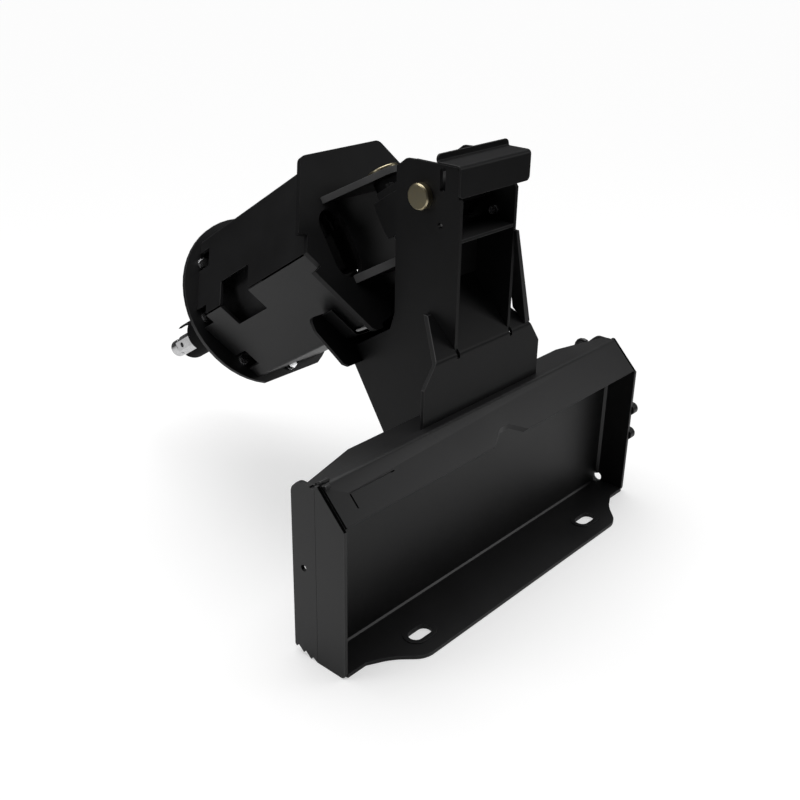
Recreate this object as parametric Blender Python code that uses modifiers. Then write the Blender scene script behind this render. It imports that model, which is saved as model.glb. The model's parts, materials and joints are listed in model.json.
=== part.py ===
"""Earth auger drive on a loader quick-attach mount, built as separate pieces.

Metres, +Z up. +X is the operator's right, +Y points away from the loader. The origin is the
centre of the attachment face that the loader's coupler pulls against. The tray, mast and
cradle stand still. The knuckle swings on the main pin, the drive body turns on the swivel
pin, and the output shaft spins in the body, driven through one planetary stage.
"""

import math

import bmesh
import bpy
from mathutils import Matrix, Vector

# Clearances
FIT = 0.0003
RUNNING_GAP = 0.0005

# Quick-attach tray, heights from the underside of its bottom flange
TRAY_WIDTH = 1.143
TRAY_HEIGHT = 0.446
TRAY_DEPTH = 0.085
PLATE_STOCK = 0.0095
FLANGE_REACH = 0.083
FLANGE_BEND_RADIUS = 0.014
FLANGE_HALF_FRONT = 0.395
FLANGE_HALF_BACK = 0.505
FLANGE_CORNER_WIDTH = 0.055
FLANGE_CORNER_DEPTH = 0.028
SLOT_SPACING = 0.688
SLOT_SETBACK = 0.0165
SLOT_LENGTH = 0.050
SLOT_WIDTH = 0.026
WING_CHAMFER_HEIGHT = 0.360
STEP_REACH = 0.072
STEP_TEETH = 4
STEP_TOOTH_DEPTH = 0.009
STEP_TOOTH_RISE = 0.005
STEP_TOOTH_LEAN = 0.3
STEP_TOP_CHAMFER = 0.024
STEP_HOLE_RADIUS = 0.006
STEP_HOLE_HEIGHT = 0.233
STEP_HOLE_REACH = 0.039
STEP_TOP_GAP = 0.004
LIP_HEIGHT = 0.452
LIP_LAND = 0.0205
LIP_DROP = 0.072
LIP_HALF_WIDTH = 0.5715
LIP_NOTCH_HALF_FRONT = 0.070
LIP_NOTCH_HALF_BACK = 0.017
LIP_NOTCH_DEPTH = 0.024
BRACE_REACH = 0.0625
BRACE_END_REACH = 0.0205
BRACE_FLAT_HALF = 0.400

# Mast and arms
MAST_HALF_WIDTH = 0.105
MAST_STOCK = 0.010
MAST_HEIGHT = 1.024
MAST_FRONT = 0.206
ARM_FRONT = 0.338
ARM_SHOULDER_HEIGHT = 0.650
ARM_SHOULDER_REACH = 0.014
ARM_GAP = 0.010
ARM_BOTTOM_HEIGHT = 0.035
ARM_KNEE_REACH = 0.239
ARM_KNEE_HEIGHT = 0.324
ARM_TIP_HEIGHT = 0.478
ARM_FOOT_REACH = 0.072
MAST_NOSE_DEPTH = 0.010
MAST_NOSE_HEIGHT = 0.008
MAST_BEVEL_DEPTH = 0.043
MAST_BEVEL_HEIGHT = 0.016
MAST_SLOT_REACH = 0.067
MAST_SLOT_WIDTH = 0.007
MAST_SLOT_LENGTH = 0.050
MAST_SLOT_DROP = 0.006
MAST_HOLE_RADIUS = 0.007
MAST_HOLE_REACH = 0.075
MAST_HOLE_HEIGHT = 0.889
CAP_STOCK = 0.005
CAP_SKIRT = 0.071
CAP_BACK = 0.020
CAP_DEPTH = 0.065
CAP_LIP = 0.016
CAP_CLEAR = 0.007
CAP_BEND_RADIUS = 0.010
CAP_LIP_RADIUS = 0.004
CAP_LEFT = 0.107
CAP_RIGHT = 0.148
SHELF_HEIGHT = 0.866
SHELF_STOCK = 0.008
SHELF_DEPTH = 0.095
SHELF_BEND_RADIUS = 0.012

# Apron in front of the back plate
APRON_HALF_WIDTH = 0.220
APRON_SHOULDER_HALF = 0.180
APRON_SHOULDER_HEIGHT = 0.545
APRON_BEND_HEIGHT = 0.600
APRON_SLOPE = math.radians(43.0)
APRON_SLOPE_LENGTH = 0.172
APRON_EAR_LENGTH = 0.112
APRON_EAR_TIP = 0.013
APRON_RELIEF = 0.006

# Main pin, knuckle and swivel pin
DROOP = math.radians(33.0)
MAIN_PIN_REACH = 0.128
MAIN_PIN_HEIGHT = 0.947
MAIN_PIN_RADIUS = 0.022
MAIN_PIN_HEAD_RADIUS = 0.0305
MAIN_PIN_HEAD = 0.018
MAIN_PIN_TAIL = 0.014
PIN_TAIL_CHAMFER = 0.002
PIN_HEAD_CHAMFER = 0.003
PIN_RING_STOCK = 0.006
MAIN_TO_SWIVEL = 0.181
KNUCKLE_HALF_WIDTH = 0.092
KNUCKLE_STOCK = 0.010
KNUCKLE_HALF_HEIGHT = 0.044
KNUCKLE_FRONT = 0.018
KNUCKLE_NOSE = 0.003
KNUCKLE_NOSE_SLOPE = 0.020
KNUCKLE_CAP_STOCK = 0.016
KNUCKLE_CAP_OVERHANG = 0.006
KNUCKLE_CAP_HORN = 0.010
KNUCKLE_TUBE_RADIUS = 0.040
KNUCKLE_STUD_SPREAD = 0.060
KNUCKLE_STUD_INSET = 0.020
KNUCKLE_STUD_RADIUS = 0.011
KNUCKLE_STUD_HEIGHT = 0.012
SWIVEL_PIN_RADIUS = 0.019
SWIVEL_HEAD_RADIUS = 0.039
SWIVEL_HEAD = 0.007
SWIVEL_TAIL = 0.012
SWIVEL_TUBE_RADIUS = 0.034
EAR_GAP_TOP = 0.1006
EAR_GAP_BOTTOM = 0.085
EAR_STOCK_TOP = 0.0165
EAR_STOCK_BOTTOM = 0.020
EAR_TIP_RADIUS = 0.040
EAR_BASE_HALF = 0.132

# Drive body, lengths along the drive from the swivel pin
FACE_START = 0.100
FACE_STOCK = 0.015
FACE_HALF_HEIGHT = 0.226
FACE_HALF_TOP = 0.136
FACE_HALF_MIDDLE = 0.265
FACE_NOTCH_HALF = 0.048
FACE_NOTCH_STEP = 0.008
FACE_NOTCH_CLEAR = 0.003
FACE_CORNER_RADIUS = 0.022
HOSE_SLOT_OFFSET = 0.127
HOSE_SLOT_WIDTH = 0.063
HOSE_SLOT_LENGTH = 0.170
BODY_LENGTH = 0.531
SHELL_APOTHEM = 0.2027
SHELL_STOCK = 0.009
SHELL_BEND_RADIUS = 0.014
WINDOW_START = 0.270
WINDOW_LENGTH = 0.136
WINDOW_ALONG_FACE = 0.070
WINDOW_DEPTH = 0.070
CUT_MARGIN = 0.012
BOLT_RELIEF_WIDTH = 0.052
BOLT_RELIEF_LENGTH = 0.050
DISC_RADIUS = 0.245
DISC_STOCK = 0.012
DISC_FLAT = 0.224
FLANGE_BOLTS = 8
FLANGE_BOLT_CIRCLE = 0.200
FLANGE_BOLT_RADIUS = 0.016
FLANGE_BOLT_HEAD = 0.013
WASHER_STOCK = 0.003
BOLT_HEAD_SHARE = 0.94

# Cradle that carries the drive body at rest
CRADLE_GAP = 0.007
CRADLE_STOCK = 0.008
CRADLE_REACH = 0.040
CRADLE_START = 0.077
CRADLE_TOP = 0.135
CRADLE_FLANGE_STOCK = 0.010
CRADLE_FLANGE_BOTTOM = 0.279
CRADLE_FLANGE_TIP = 0.208
CRADLE_FOOT_INSET = 0.055
CRADLE_FOOT_CHAMFER = (0.014, 0.010)
CRADLE_WING_HEIGHT = 0.108
CRADLE_RADII = {4: 0.008, 6: 0.020, 7: 0.012}

# Hydraulic motor
MOTOR_RADIUS = 0.062
MOTOR_LENGTH = 0.120
MOTOR_CAP_LENGTH = 0.070
MOTOR_CAP_HALF = 0.052
MOTOR_CAP_CORNER = 0.012
PORT_RADIUS = 0.017
PORT_LENGTH = 0.030
PORT_SPREAD = 0.028
PORT_NECK_RADIUS = 0.013
PORT_NECK_LENGTH = 0.048

# Gearbox, lengths along the drive from the face plate
CASE_RADIUS = 0.165
CASE_WALL = 0.015
CASE_START = 0.290
CASE_COVER = 0.014
GEAR_MODULE = 0.005
SUN_TEETH = 15
PLANET_TEETH = 15
PLANET_COUNT = 3
GEAR_WIDTH = 0.044
GEAR_START = 0.338
GEAR_BACKLASH = 0.0006
PRESSURE_ANGLE = math.radians(20.0)
CARRIER_PLATE = 0.010
CARRIER_MARGIN = 0.020
PLANET_PIN_RADIUS = 0.0135
MOTOR_SHAFT_RADIUS = 0.018

# Output housing, bearings and shaft
HOUSING_FLANGE_RADIUS = 0.222
HOUSING_FLANGE = 0.014
HOUSING_SLEEVE_RADIUS = 0.095
HOUSING_BORE_RADIUS = 0.080
HOUSING_SLEEVE_LENGTH = 0.105
HOUSING_NECK_LENGTH = 0.103
HOUSING_SHOULDER_RADIUS = 0.105
SHAFT_RADIUS = 0.045
BEARING_WIDTH = 0.030
BEARING_RACE = 0.011
BEARING_SETBACK = 0.004
SEAL_WIDTH = 0.012
GUARD_RADIUS = 0.056
GUARD_WALL = 0.006
GUARD_LENGTH = 0.278
GUARD_WINDOW = 0.072
GUARD_WINDOW_HALF = 0.030
NUT_RADIUS = 0.034
NUT_WIDTH = 0.015
NUT_START = 0.856
NUT_RELIEF = 0.002
NUT_LOBES = 6
NUT_SLOT_DEPTH = 0.004
THREAD_RADIUS = 0.024
HEX_ACROSS_FLATS = 0.0508
HEX_LENGTH = 0.120
NOSE_LENGTH = 0.040
NOSE_RADIUS = 0.0265
NOSE_CHAMFER = 0.006
CROSS_HOLE_RADIUS = 0.008
CROSS_HOLE_SETBACK = 0.030

# Small parts
HOSE_LOOP_RADIUS = 0.020
HOSE_LOOP_WIRE = 0.005
WING_BOLT_RADIUS = 0.014
WING_BOLT_HEAD = 0.012
WING_BOLT_HEIGHT = 0.255
WING_BOLT_SPACING = 0.077
WING_BOLT_REACH = 0.075
LOCK_BOLT_RADIUS = 0.011
LOCK_BOLT_HEAD = 0.010

# Facets round a full circle
LARGE_ROUND = 48
SMALL_ROUND = 24
TINY_ROUND = 16

# Values that follow from the sizes above
HALF_TRAY = TRAY_WIDTH / 2
WING_INNER = HALF_TRAY - PLATE_STOCK
MAST_INNER = MAST_HALF_WIDTH - MAST_STOCK
FACE_END = FACE_START + FACE_STOCK
BODY_END = FACE_START + BODY_LENGTH
DISC_END = BODY_END + DISC_STOCK
FLANGE_START = DISC_END + FIT
FLANGE_END = FLANGE_START + HOUSING_FLANGE
NECK_END = FLANGE_END + HOUSING_NECK_LENGTH
GUARD_END = NECK_END + FIT + GUARD_LENGTH
RING_TEETH = SUN_TEETH + 2 * PLANET_TEETH
PLANET_ORBIT = GEAR_MODULE * (SUN_TEETH + PLANET_TEETH) / 2
GEAR_BACK = FACE_START + GEAR_START
GEAR_FRONT = GEAR_BACK + GEAR_WIDTH
CASE_BACK = FACE_START + CASE_START
SHELL_HALF_MIDDLE = SHELL_APOTHEM / math.cos(math.radians(30))
SHELL_HALF_FLAT = SHELL_HALF_MIDDLE / 2

# Directions that outlines are laid in
OUTLINE_YZ = Matrix(((0, 0, 1, 0), (1, 0, 0, 0), (0, 1, 0, 0), (0, 0, 0, 1)))
FACING_BACK = Matrix.Rotation(math.radians(90), 4, "X")
ALONG_DRIVE = Matrix.Rotation(math.radians(-90), 4, "X")
ALONG_X = Matrix.Rotation(math.radians(90), 4, "Y")

MATERIALS = {
    "black_paint": ((0.013, 0.013, 0.014), 0.42, 0.0),
    "cut_edge_paint": ((0.06, 0.06, 0.06), 0.5, 0.0),
    "gold_zinc": ((0.55, 0.47, 0.28), 0.32, 1.0),
    "bright_zinc": ((0.72, 0.72, 0.73), 0.28, 1.0),
    "bare_steel": ((0.62, 0.62, 0.63), 0.3, 1.0),
    "gear_steel": ((0.3, 0.3, 0.31), 0.35, 1.0),
    "cast_case": ((0.03, 0.03, 0.032), 0.6, 0.3),
    "seal_rubber": ((0.02, 0.02, 0.02), 0.7, 0.0),
}


def clear_scene():
    """Remove every object and collection that is there."""
    for item in list(bpy.data.objects):
        bpy.data.objects.remove(item)
    for collection in list(bpy.data.collections):
        bpy.data.collections.remove(collection)


def make_collection(name):
    """Add a collection to the scene."""
    collection = bpy.data.collections.new(name)
    bpy.context.scene.collection.children.link(collection)
    return collection


def make_material(name):
    """Give the named finish as a Principled material."""
    if name in bpy.data.materials:
        return bpy.data.materials[name]
    color, roughness, metallic = MATERIALS[name]
    material = bpy.data.materials.new(name)
    material.use_nodes = True
    shader = material.node_tree.nodes["Principled BSDF"]
    shader.inputs["Base Color"].default_value = (*color, 1.0)
    shader.inputs["Roughness"].default_value = roughness
    shader.inputs["Metallic"].default_value = metallic
    material.diffuse_color = (*color, 1.0)
    return material


class Assembly:
    """The collections that pieces and cutters go into."""

    def __init__(self):
        self.pieces = make_collection("earth_auger_drive")
        self.cutters = make_collection("cutters")

    def frame(self, name, matrix, parent=None):
        """Add an empty that a group of pieces hangs from."""
        empty = bpy.data.objects.new(name, None)
        empty.empty_display_size = 0.05
        self.pieces.objects.link(empty)
        empty.parent = parent
        empty.matrix_local = matrix
        return empty

    def piece(self, name, mesh, parent, matrix, finish):
        """Add a finished piece with its material."""
        item = bpy.data.objects.new(name, mesh)
        self.pieces.objects.link(item)
        item.parent = parent
        item.matrix_local = matrix
        mesh.materials.clear()
        mesh.materials.append(make_material(finish))
        return item

    def cut(self, target, mesh, parent, matrix, operation="DIFFERENCE"):
        """Cut a closed mesh out of a piece, or add it with UNION."""
        cutter = bpy.data.objects.new(target.name + "_cutter", mesh)
        self.cutters.objects.link(cutter)
        cutter.parent = parent
        cutter.matrix_local = matrix
        cutter.hide_render = True
        cutter.display_type = "WIRE"
        boolean = target.modifiers.new("cut", "BOOLEAN")
        boolean.operation = operation
        boolean.solver = "EXACT"
        boolean.object = cutter
        return cutter

    def combine(self, target, mesh, parent, matrix):
        """Fuse a closed mesh to a piece."""
        return self.cut(target, mesh, parent, matrix, "UNION")


def shift(x=0.0, y=0.0, z=0.0):
    """A translation matrix."""
    return Matrix.Translation(Vector((x, y, z)))


def fillet(before, corner, after, radius, steps=3):
    """Points of the round that replaces one corner."""
    incoming = (Vector(corner) - Vector(before)).normalized()
    outgoing = (Vector(after) - Vector(corner)).normalized()
    turn = math.atan2(incoming.cross(outgoing), incoming.dot(outgoing))
    reach = radius * abs(math.tan(turn / 2))
    start = Vector(corner) - incoming * reach
    side = Vector((-incoming.y, incoming.x)) * math.copysign(radius, turn)
    centre = start + side
    points = []
    for step in range(steps + 1):
        angle = turn * step / steps
        spoke = Matrix.Rotation(angle, 2) @ (-side)
        points.append(tuple(centre + spoke))
    return points


def rounded(points, radii, steps=3, closed=True):
    """An outline whose listed corners, {index: radius}, are rounded."""
    result = []
    count = len(points)
    for index, point in enumerate(points):
        if index not in radii or (not closed and index in (0, count - 1)):
            result.append(tuple(point))
            continue
        before = points[index - 1]
        after = points[(index + 1) % count]
        result.extend(fillet(before, point, after, radii[index], steps))
    return result


def mirrored(points):
    """A half outline on +X, closed by its mirror image."""
    return list(points) + [(-x, y) for x, y in reversed(points)]


def circle(radius, count, centre=(0.0, 0.0), start=0.0):
    """Points round a circle."""
    points = []
    for index in range(count):
        angle = start + 2 * math.pi * index / count
        points.append((centre[0] + radius * math.cos(angle), centre[1] + radius * math.sin(angle)))
    return points


def obround(length, width, centre=(0.0, 0.0), steps=6):
    """A slot outline, long along X."""
    radius = width / 2
    half = length / 2 - radius
    points = []
    for side, first in ((1, -90), (-1, 90)):
        for step in range(steps + 1):
            angle = math.radians(first + 180 * step / steps)
            x = centre[0] + side * half + radius * math.cos(angle)
            points.append((x, centre[1] + radius * math.sin(angle)))
    return points


def turned_quarter(points):
    """The same outline turned a quarter turn."""
    return [(-y, x) for x, y in points]


def flat_mesh(outline, thickness, holes=()):
    """A flat plate from z = 0 up, filled from a 2D curve."""
    curve = bpy.data.curves.new("outline", "CURVE")
    curve.dimensions = "2D"
    curve.fill_mode = "BOTH"
    curve.extrude = thickness / 2
    for loop in (outline, *holes):
        spline = curve.splines.new("POLY")
        spline.points.add(len(loop) - 1)
        spline.use_cyclic_u = True
        for spot, (x, y) in zip(spline.points, loop):
            spot.co = (x, y, 0.0, 1.0)
    holder = bpy.data.objects.new("outline", curve)
    bpy.context.scene.collection.objects.link(holder)
    graph = bpy.context.evaluated_depsgraph_get()
    mesh = bpy.data.meshes.new_from_object(holder.evaluated_get(graph))
    bpy.data.objects.remove(holder)
    bpy.data.curves.remove(curve)
    work = bmesh.new()
    work.from_mesh(mesh)
    bmesh.ops.remove_doubles(work, verts=work.verts, dist=1e-6)
    bmesh.ops.translate(work, verts=work.verts, vec=(0, 0, thickness / 2))
    bmesh.ops.recalc_face_normals(work, faces=work.faces)
    work.to_mesh(mesh)
    work.free()
    return mesh


def fused(parts):
    """One body made of overlapping meshes, given as (mesh, matrix)."""
    holders = []
    for mesh, matrix in parts:
        holder = bpy.data.objects.new("part", mesh)
        holder.matrix_world = matrix
        bpy.context.scene.collection.objects.link(holder)
        holders.append(holder)
    for holder in holders[1:]:
        boolean = holders[0].modifiers.new("fuse", "BOOLEAN")
        boolean.operation = "UNION"
        boolean.object = holder
    graph = bpy.context.evaluated_depsgraph_get()
    result = bpy.data.meshes.new_from_object(holders[0].evaluated_get(graph))
    result.transform(parts[0][1])
    for holder in holders:
        bpy.data.objects.remove(holder)
    return result


def cylinder_mesh(radius, length, count=SMALL_ROUND, top_radius=None):
    """A closed cylinder or cone from z = 0 up."""
    work = bmesh.new()
    top = radius if top_radius is None else top_radius
    bmesh.ops.create_cone(work, cap_ends=True, segments=count, radius1=radius, radius2=top, depth=length)
    bmesh.ops.translate(work, verts=work.verts, vec=(0, 0, length / 2))
    mesh = bpy.data.meshes.new("cylinder")
    work.to_mesh(mesh)
    work.free()
    return mesh


def ring_mesh(outer, inner, length, count=LARGE_ROUND):
    """A plain closed ring from z = 0 up."""
    return flat_mesh(circle(outer, count), length, [circle(inner, count)])


def box_mesh(low, high):
    """A closed box between two corners."""
    work = bmesh.new()
    bmesh.ops.create_cube(work, size=1.0)
    size = Vector(high) - Vector(low)
    middle = (Vector(high) + Vector(low)) / 2
    bmesh.ops.scale(work, verts=work.verts, vec=size)
    bmesh.ops.translate(work, verts=work.verts, vec=middle)
    mesh = bpy.data.meshes.new("box")
    work.to_mesh(mesh)
    work.free()
    return mesh


def profile_mesh(points, closed):
    """A bare profile in the XZ plane for a Screw modifier."""
    mesh = bpy.data.meshes.new("profile")
    count = len(points)
    edges = [(index, index + 1) for index in range(count - 1)]
    if closed:
        edges.append((count - 1, 0))
    mesh.from_pydata([(x, 0.0, z) for x, z in points], edges, [])
    return mesh


def turn(item, count):
    """Turn a piece's profile round its own Z axis."""
    screw = item.modifiers.new("turn", "SCREW")
    screw.axis = "Z"
    screw.angle = 2 * math.pi
    screw.steps = count
    screw.render_steps = count
    screw.use_merge_vertices = True
    screw.merge_threshold = 0.00001
    weld = item.modifiers.new("poles", "WELD")
    weld.merge_threshold = 0.00001


def turned_piece(assembly, name, points, parent, matrix, finish, count=SMALL_ROUND, closed=True):
    """A turned piece. Points are (radius, height), down the outer side first."""
    item = assembly.piece(name, profile_mesh(points, closed), parent, matrix, finish)
    turn(item, count)
    return item


def ring_profile(outer, inner, low, high):
    """The closed profile of a plain ring."""
    return [(outer, high), (outer, low), (inner, low), (inner, high)]


def bent_sheet(profile, width, material_side):
    """An open sheet swept along X. Its normals point away from the material side."""
    work = bmesh.new()
    spots = [work.verts.new((-width / 2, y, z)) for y, z in profile]
    edges = [work.edges.new(pair) for pair in zip(spots, spots[1:])]
    swept = bmesh.ops.extrude_edge_only(work, edges=edges)["geom"]
    moved = [part for part in swept if isinstance(part, bmesh.types.BMVert)]
    bmesh.ops.translate(work, verts=moved, vec=(width, 0, 0))
    bmesh.ops.recalc_face_normals(work, faces=work.faces)
    work.faces.ensure_lookup_table()
    travel = spots[1].co - spots[0].co
    wanted = travel.cross(Vector((1, 0, 0))) * material_side
    first = min(work.faces, key=lambda face: (face.calc_center_median() - spots[0].co).length)
    first.normal_update()
    if first.normal.dot(wanted) > 0:
        bmesh.ops.reverse_faces(work, faces=work.faces)
    mesh = bpy.data.meshes.new("sheet")
    work.to_mesh(mesh)
    work.free()
    return mesh


def bent_piece(assembly, name, profile, width, stock, parent, matrix, finish, material_side=1):
    """A bent plate whose material lies to the right of the profile's travel."""
    item = assembly.piece(name, bent_sheet(profile, width, material_side), parent, matrix, finish)
    solidify = item.modifiers.new("stock", "SOLIDIFY")
    solidify.thickness = stock
    solidify.offset = -1.0
    solidify.use_even_offset = True
    return item


def flat_piece(assembly, name, outline, stock, parent, matrix, finish, holes=()):
    """A flat plate piece."""
    return assembly.piece(name, flat_mesh(outline, stock, holes), parent, matrix, finish)


def involute(angle):
    """The involute function."""
    return math.tan(angle) - angle


def flank(teeth, radius, growth):
    """Half the angle that a tooth covers at a radius."""
    pitch = GEAR_MODULE * teeth / 2
    base = pitch * math.cos(PRESSURE_ANGLE)
    pressure = math.acos(min(1.0, base / radius))
    half = math.pi / (2 * teeth) - GEAR_BACKLASH / (2 * pitch)
    return half + growth * (involute(PRESSURE_ANGLE) - involute(pressure))


def gear_outline(teeth, phase, inner_tip=None, steps=3):
    """A gear's outline, or with inner_tip the toothed hole of a ring gear."""
    pitch = GEAR_MODULE * teeth / 2
    base = pitch * math.cos(PRESSURE_ANGLE)
    growth = 1 if inner_tip is None else -1
    tip = pitch + GEAR_MODULE if inner_tip is None else inner_tip
    root = pitch - growth * 1.25 * GEAR_MODULE
    foot = max(base, root) if inner_tip is None else root
    radii = [foot + (tip - foot) * step / steps for step in range(steps + 1)]
    points = []
    for tooth in range(teeth):
        middle = phase + 2 * math.pi * tooth / teeth
        rise = [(radius, middle - flank(teeth, radius, growth)) for radius in radii]
        fall = [(radius, middle + flank(teeth, radius, growth)) for radius in reversed(radii)]
        if root < foot:
            rise.insert(0, (root, rise[0][1]))
            fall.append((root, fall[-1][1]))
        for radius, angle in rise + fall:
            points.append((radius * math.cos(angle), radius * math.sin(angle)))
    return points


def planet_angles():
    """Where planets fit round the sun, close to even spacing."""
    places = SUN_TEETH + RING_TEETH
    return [2 * math.pi * round(places * index / PLANET_COUNT) / places for index in range(PLANET_COUNT)]


def planet_phase(angle):
    """A planet's tooth phase that meshes with a sun whose tooth lies at angle zero."""
    return angle + math.pi - math.pi / PLANET_TEETH + angle * SUN_TEETH / PLANET_TEETH


def ring_phase():
    """The ring gear's tooth phase that meshes with those planets."""
    return math.pi * PLANET_TEETH / RING_TEETH


def bolt_mesh(radius, head, sides=6):
    """A hex head on its washer, standing on z = FIT."""
    washer = cylinder_mesh(radius, WASHER_STOCK, TINY_ROUND)
    hexagon = cylinder_mesh(radius * BOLT_HEAD_SHARE, head + FIT, sides)
    return fused([(washer, shift(z=FIT)), (hexagon, shift(z=WASHER_STOCK))])


def hexagon_half(apothem, low):
    """The lower right part of a hexagon, from the bottom flat up to height -low."""
    half_flat = apothem * math.tan(math.radians(30))
    rise = (apothem - low) * math.tan(math.radians(30))
    return [(half_flat, -apothem), (half_flat + rise, -low)]


def add_hose_loop(assembly, tray, plate):
    """Weld the hose loop to the right step plate's front edge."""
    major = HOSE_LOOP_RADIUS
    loop = bmesh.new()
    spots = circle(HOSE_LOOP_WIRE, 8)
    ring = [loop.verts.new((major + x, 0.0, z)) for x, z in spots]
    edges = [loop.edges.new((ring[index - 1], ring[index])) for index in range(8)]
    bmesh.ops.spin(loop, geom=ring + edges, cent=(0, 0, 0), axis=(0, 0, 1), angle=2 * math.pi,
                   steps=TINY_ROUND, use_merge=True)
    bmesh.ops.remove_doubles(loop, verts=loop.verts, dist=1e-6)
    bmesh.ops.recalc_face_normals(loop, faces=loop.faces)
    mesh = bpy.data.meshes.new("loop")
    loop.to_mesh(mesh)
    loop.free()
    front = TRAY_DEPTH + STEP_REACH + major - HOSE_LOOP_WIRE / 2
    place = shift(HALF_TRAY - PLATE_STOCK / 2, front, TRAY_HEIGHT - 2 * STEP_TOP_CHAMFER) @ ALONG_X
    assembly.combine(plate, mesh, tray, place)


def build_tray(assembly, tray):
    """Back plate with its bottom flange, side wings, steps, top lip and brace."""
    top = LIP_HEIGHT - PLATE_STOCK - FIT
    front = TRAY_DEPTH + PLATE_STOCK
    profile = rounded([(-FLANGE_REACH, 0), (front, 0), (front, top)], {1: FLANGE_BEND_RADIUS}, 4, False)
    width = 2 * (WING_INNER - FIT)
    plate = bent_piece(assembly, "back_plate", profile, width, PLATE_STOCK, tray, shift(), "black_paint", -1)
    past = HALF_TRAY + PLATE_STOCK
    waste = [(past, 0.0), (FLANGE_HALF_BACK, 0.0),
             (FLANGE_HALF_FRONT + FLANGE_CORNER_WIDTH, -FLANGE_CORNER_DEPTH),
             (FLANGE_HALF_FRONT, -FLANGE_REACH), (FLANGE_HALF_FRONT, -FLANGE_REACH - PLATE_STOCK),
             (past, -FLANGE_REACH - PLATE_STOCK)]
    for side in (1, -1):
        corner = [(side * x, y) for x, y in waste]
        mesh = flat_mesh(corner, 3 * PLATE_STOCK)
        assembly.cut(plate, mesh, tray, shift(z=-PLATE_STOCK))
        slot = obround(SLOT_LENGTH, SLOT_WIDTH, (side * SLOT_SPACING / 2, -SLOT_SETBACK))
        assembly.cut(plate, flat_mesh(slot, 3 * PLATE_STOCK), tray, shift(z=-PLATE_STOCK))
    wing_top = LIP_HEIGHT - PLATE_STOCK - 2 * FIT
    chamfer_reach = wing_top - WING_CHAMFER_HEIGHT
    wing = [(0, 0), (TRAY_DEPTH - FIT, 0), (TRAY_DEPTH - FIT, wing_top), (chamfer_reach, wing_top),
            (0, WING_CHAMFER_HEIGHT)]
    step_end = TRAY_DEPTH + STEP_REACH
    pitch = (step_end - TRAY_DEPTH) / STEP_TEETH
    step = [(TRAY_DEPTH, 0.0)]
    for tooth in range(STEP_TEETH):
        start = TRAY_DEPTH + tooth * pitch
        rise = tooth * STEP_TOOTH_RISE
        step.append((start + STEP_TOOTH_LEAN * pitch, rise - STEP_TOOTH_DEPTH))
        step.append((start + pitch, rise))
    step.append((step_end, TRAY_HEIGHT - STEP_TOP_CHAMFER))
    step.append((step_end - STEP_TOP_CHAMFER, TRAY_HEIGHT))
    step.append((TRAY_DEPTH + PLATE_STOCK + STEP_TOP_GAP, TRAY_HEIGHT))
    step.append((TRAY_DEPTH + PLATE_STOCK + STEP_TOP_GAP, wing_top))
    step.append((TRAY_DEPTH, wing_top))
    hole = circle(STEP_HOLE_RADIUS, TINY_ROUND, (TRAY_DEPTH + STEP_HOLE_REACH, STEP_HOLE_HEIGHT))
    for side, word in ((-1, "left"), (1, "right")):
        start = WING_INNER if side > 0 else -HALF_TRAY
        place = shift(x=start) @ OUTLINE_YZ
        flat_piece(assembly, "wing_" + word, wing, PLATE_STOCK, tray, place, "black_paint")
        plate = flat_piece(assembly, "step_plate_" + word, step, PLATE_STOCK, tray, place, "black_paint", [hole])
        if side > 0:
            add_hose_loop(assembly, tray, plate)

    lip_back = TRAY_DEPTH + PLATE_STOCK
    lip_fold = lip_back - LIP_LAND
    lip = rounded([(lip_back, LIP_HEIGHT), (lip_fold, LIP_HEIGHT), (lip_fold - LIP_DROP, LIP_HEIGHT - LIP_DROP)],
                  {1: FLANGE_BEND_RADIUS}, 3, False)
    upper = bent_piece(assembly, "top_lip", lip, 2 * LIP_HALF_WIDTH, PLATE_STOCK, tray, shift(),
                       "black_paint", -1)
    lip_edge = lip_fold - LIP_DROP
    notch = mirrored([(LIP_NOTCH_HALF_FRONT, lip_edge - PLATE_STOCK), (LIP_NOTCH_HALF_FRONT, lip_edge),
                      (LIP_NOTCH_HALF_BACK, lip_edge + LIP_NOTCH_DEPTH)])
    assembly.cut(upper, flat_mesh(notch, LIP_DROP), tray, shift(z=LIP_HEIGHT - LIP_DROP - 3 * PLATE_STOCK))

    back = TRAY_DEPTH + PLATE_STOCK + FIT
    brace = mirrored([(WING_INNER - FIT, back), (WING_INNER - FIT, back + BRACE_END_REACH),
                      (BRACE_FLAT_HALF, back + BRACE_REACH)])
    shelf = flat_piece(assembly, "top_brace", brace, PLATE_STOCK, tray, shift(z=TRAY_HEIGHT - PLATE_STOCK),
                       "black_paint")
    for side in (1, -1):
        low = (side * (MAST_HALF_WIDTH + FIT), back + PLATE_STOCK, 0)
        high = (side * (MAST_INNER - FIT), back + 2 * BRACE_REACH, 1)
        corners = sorted((low[0], high[0]))
        slot = box_mesh((corners[0], low[1], TRAY_HEIGHT - 2 * PLATE_STOCK),
                        (corners[1], high[1], TRAY_HEIGHT + PLATE_STOCK))
        assembly.cut(shelf, slot, tray, shift())


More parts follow.
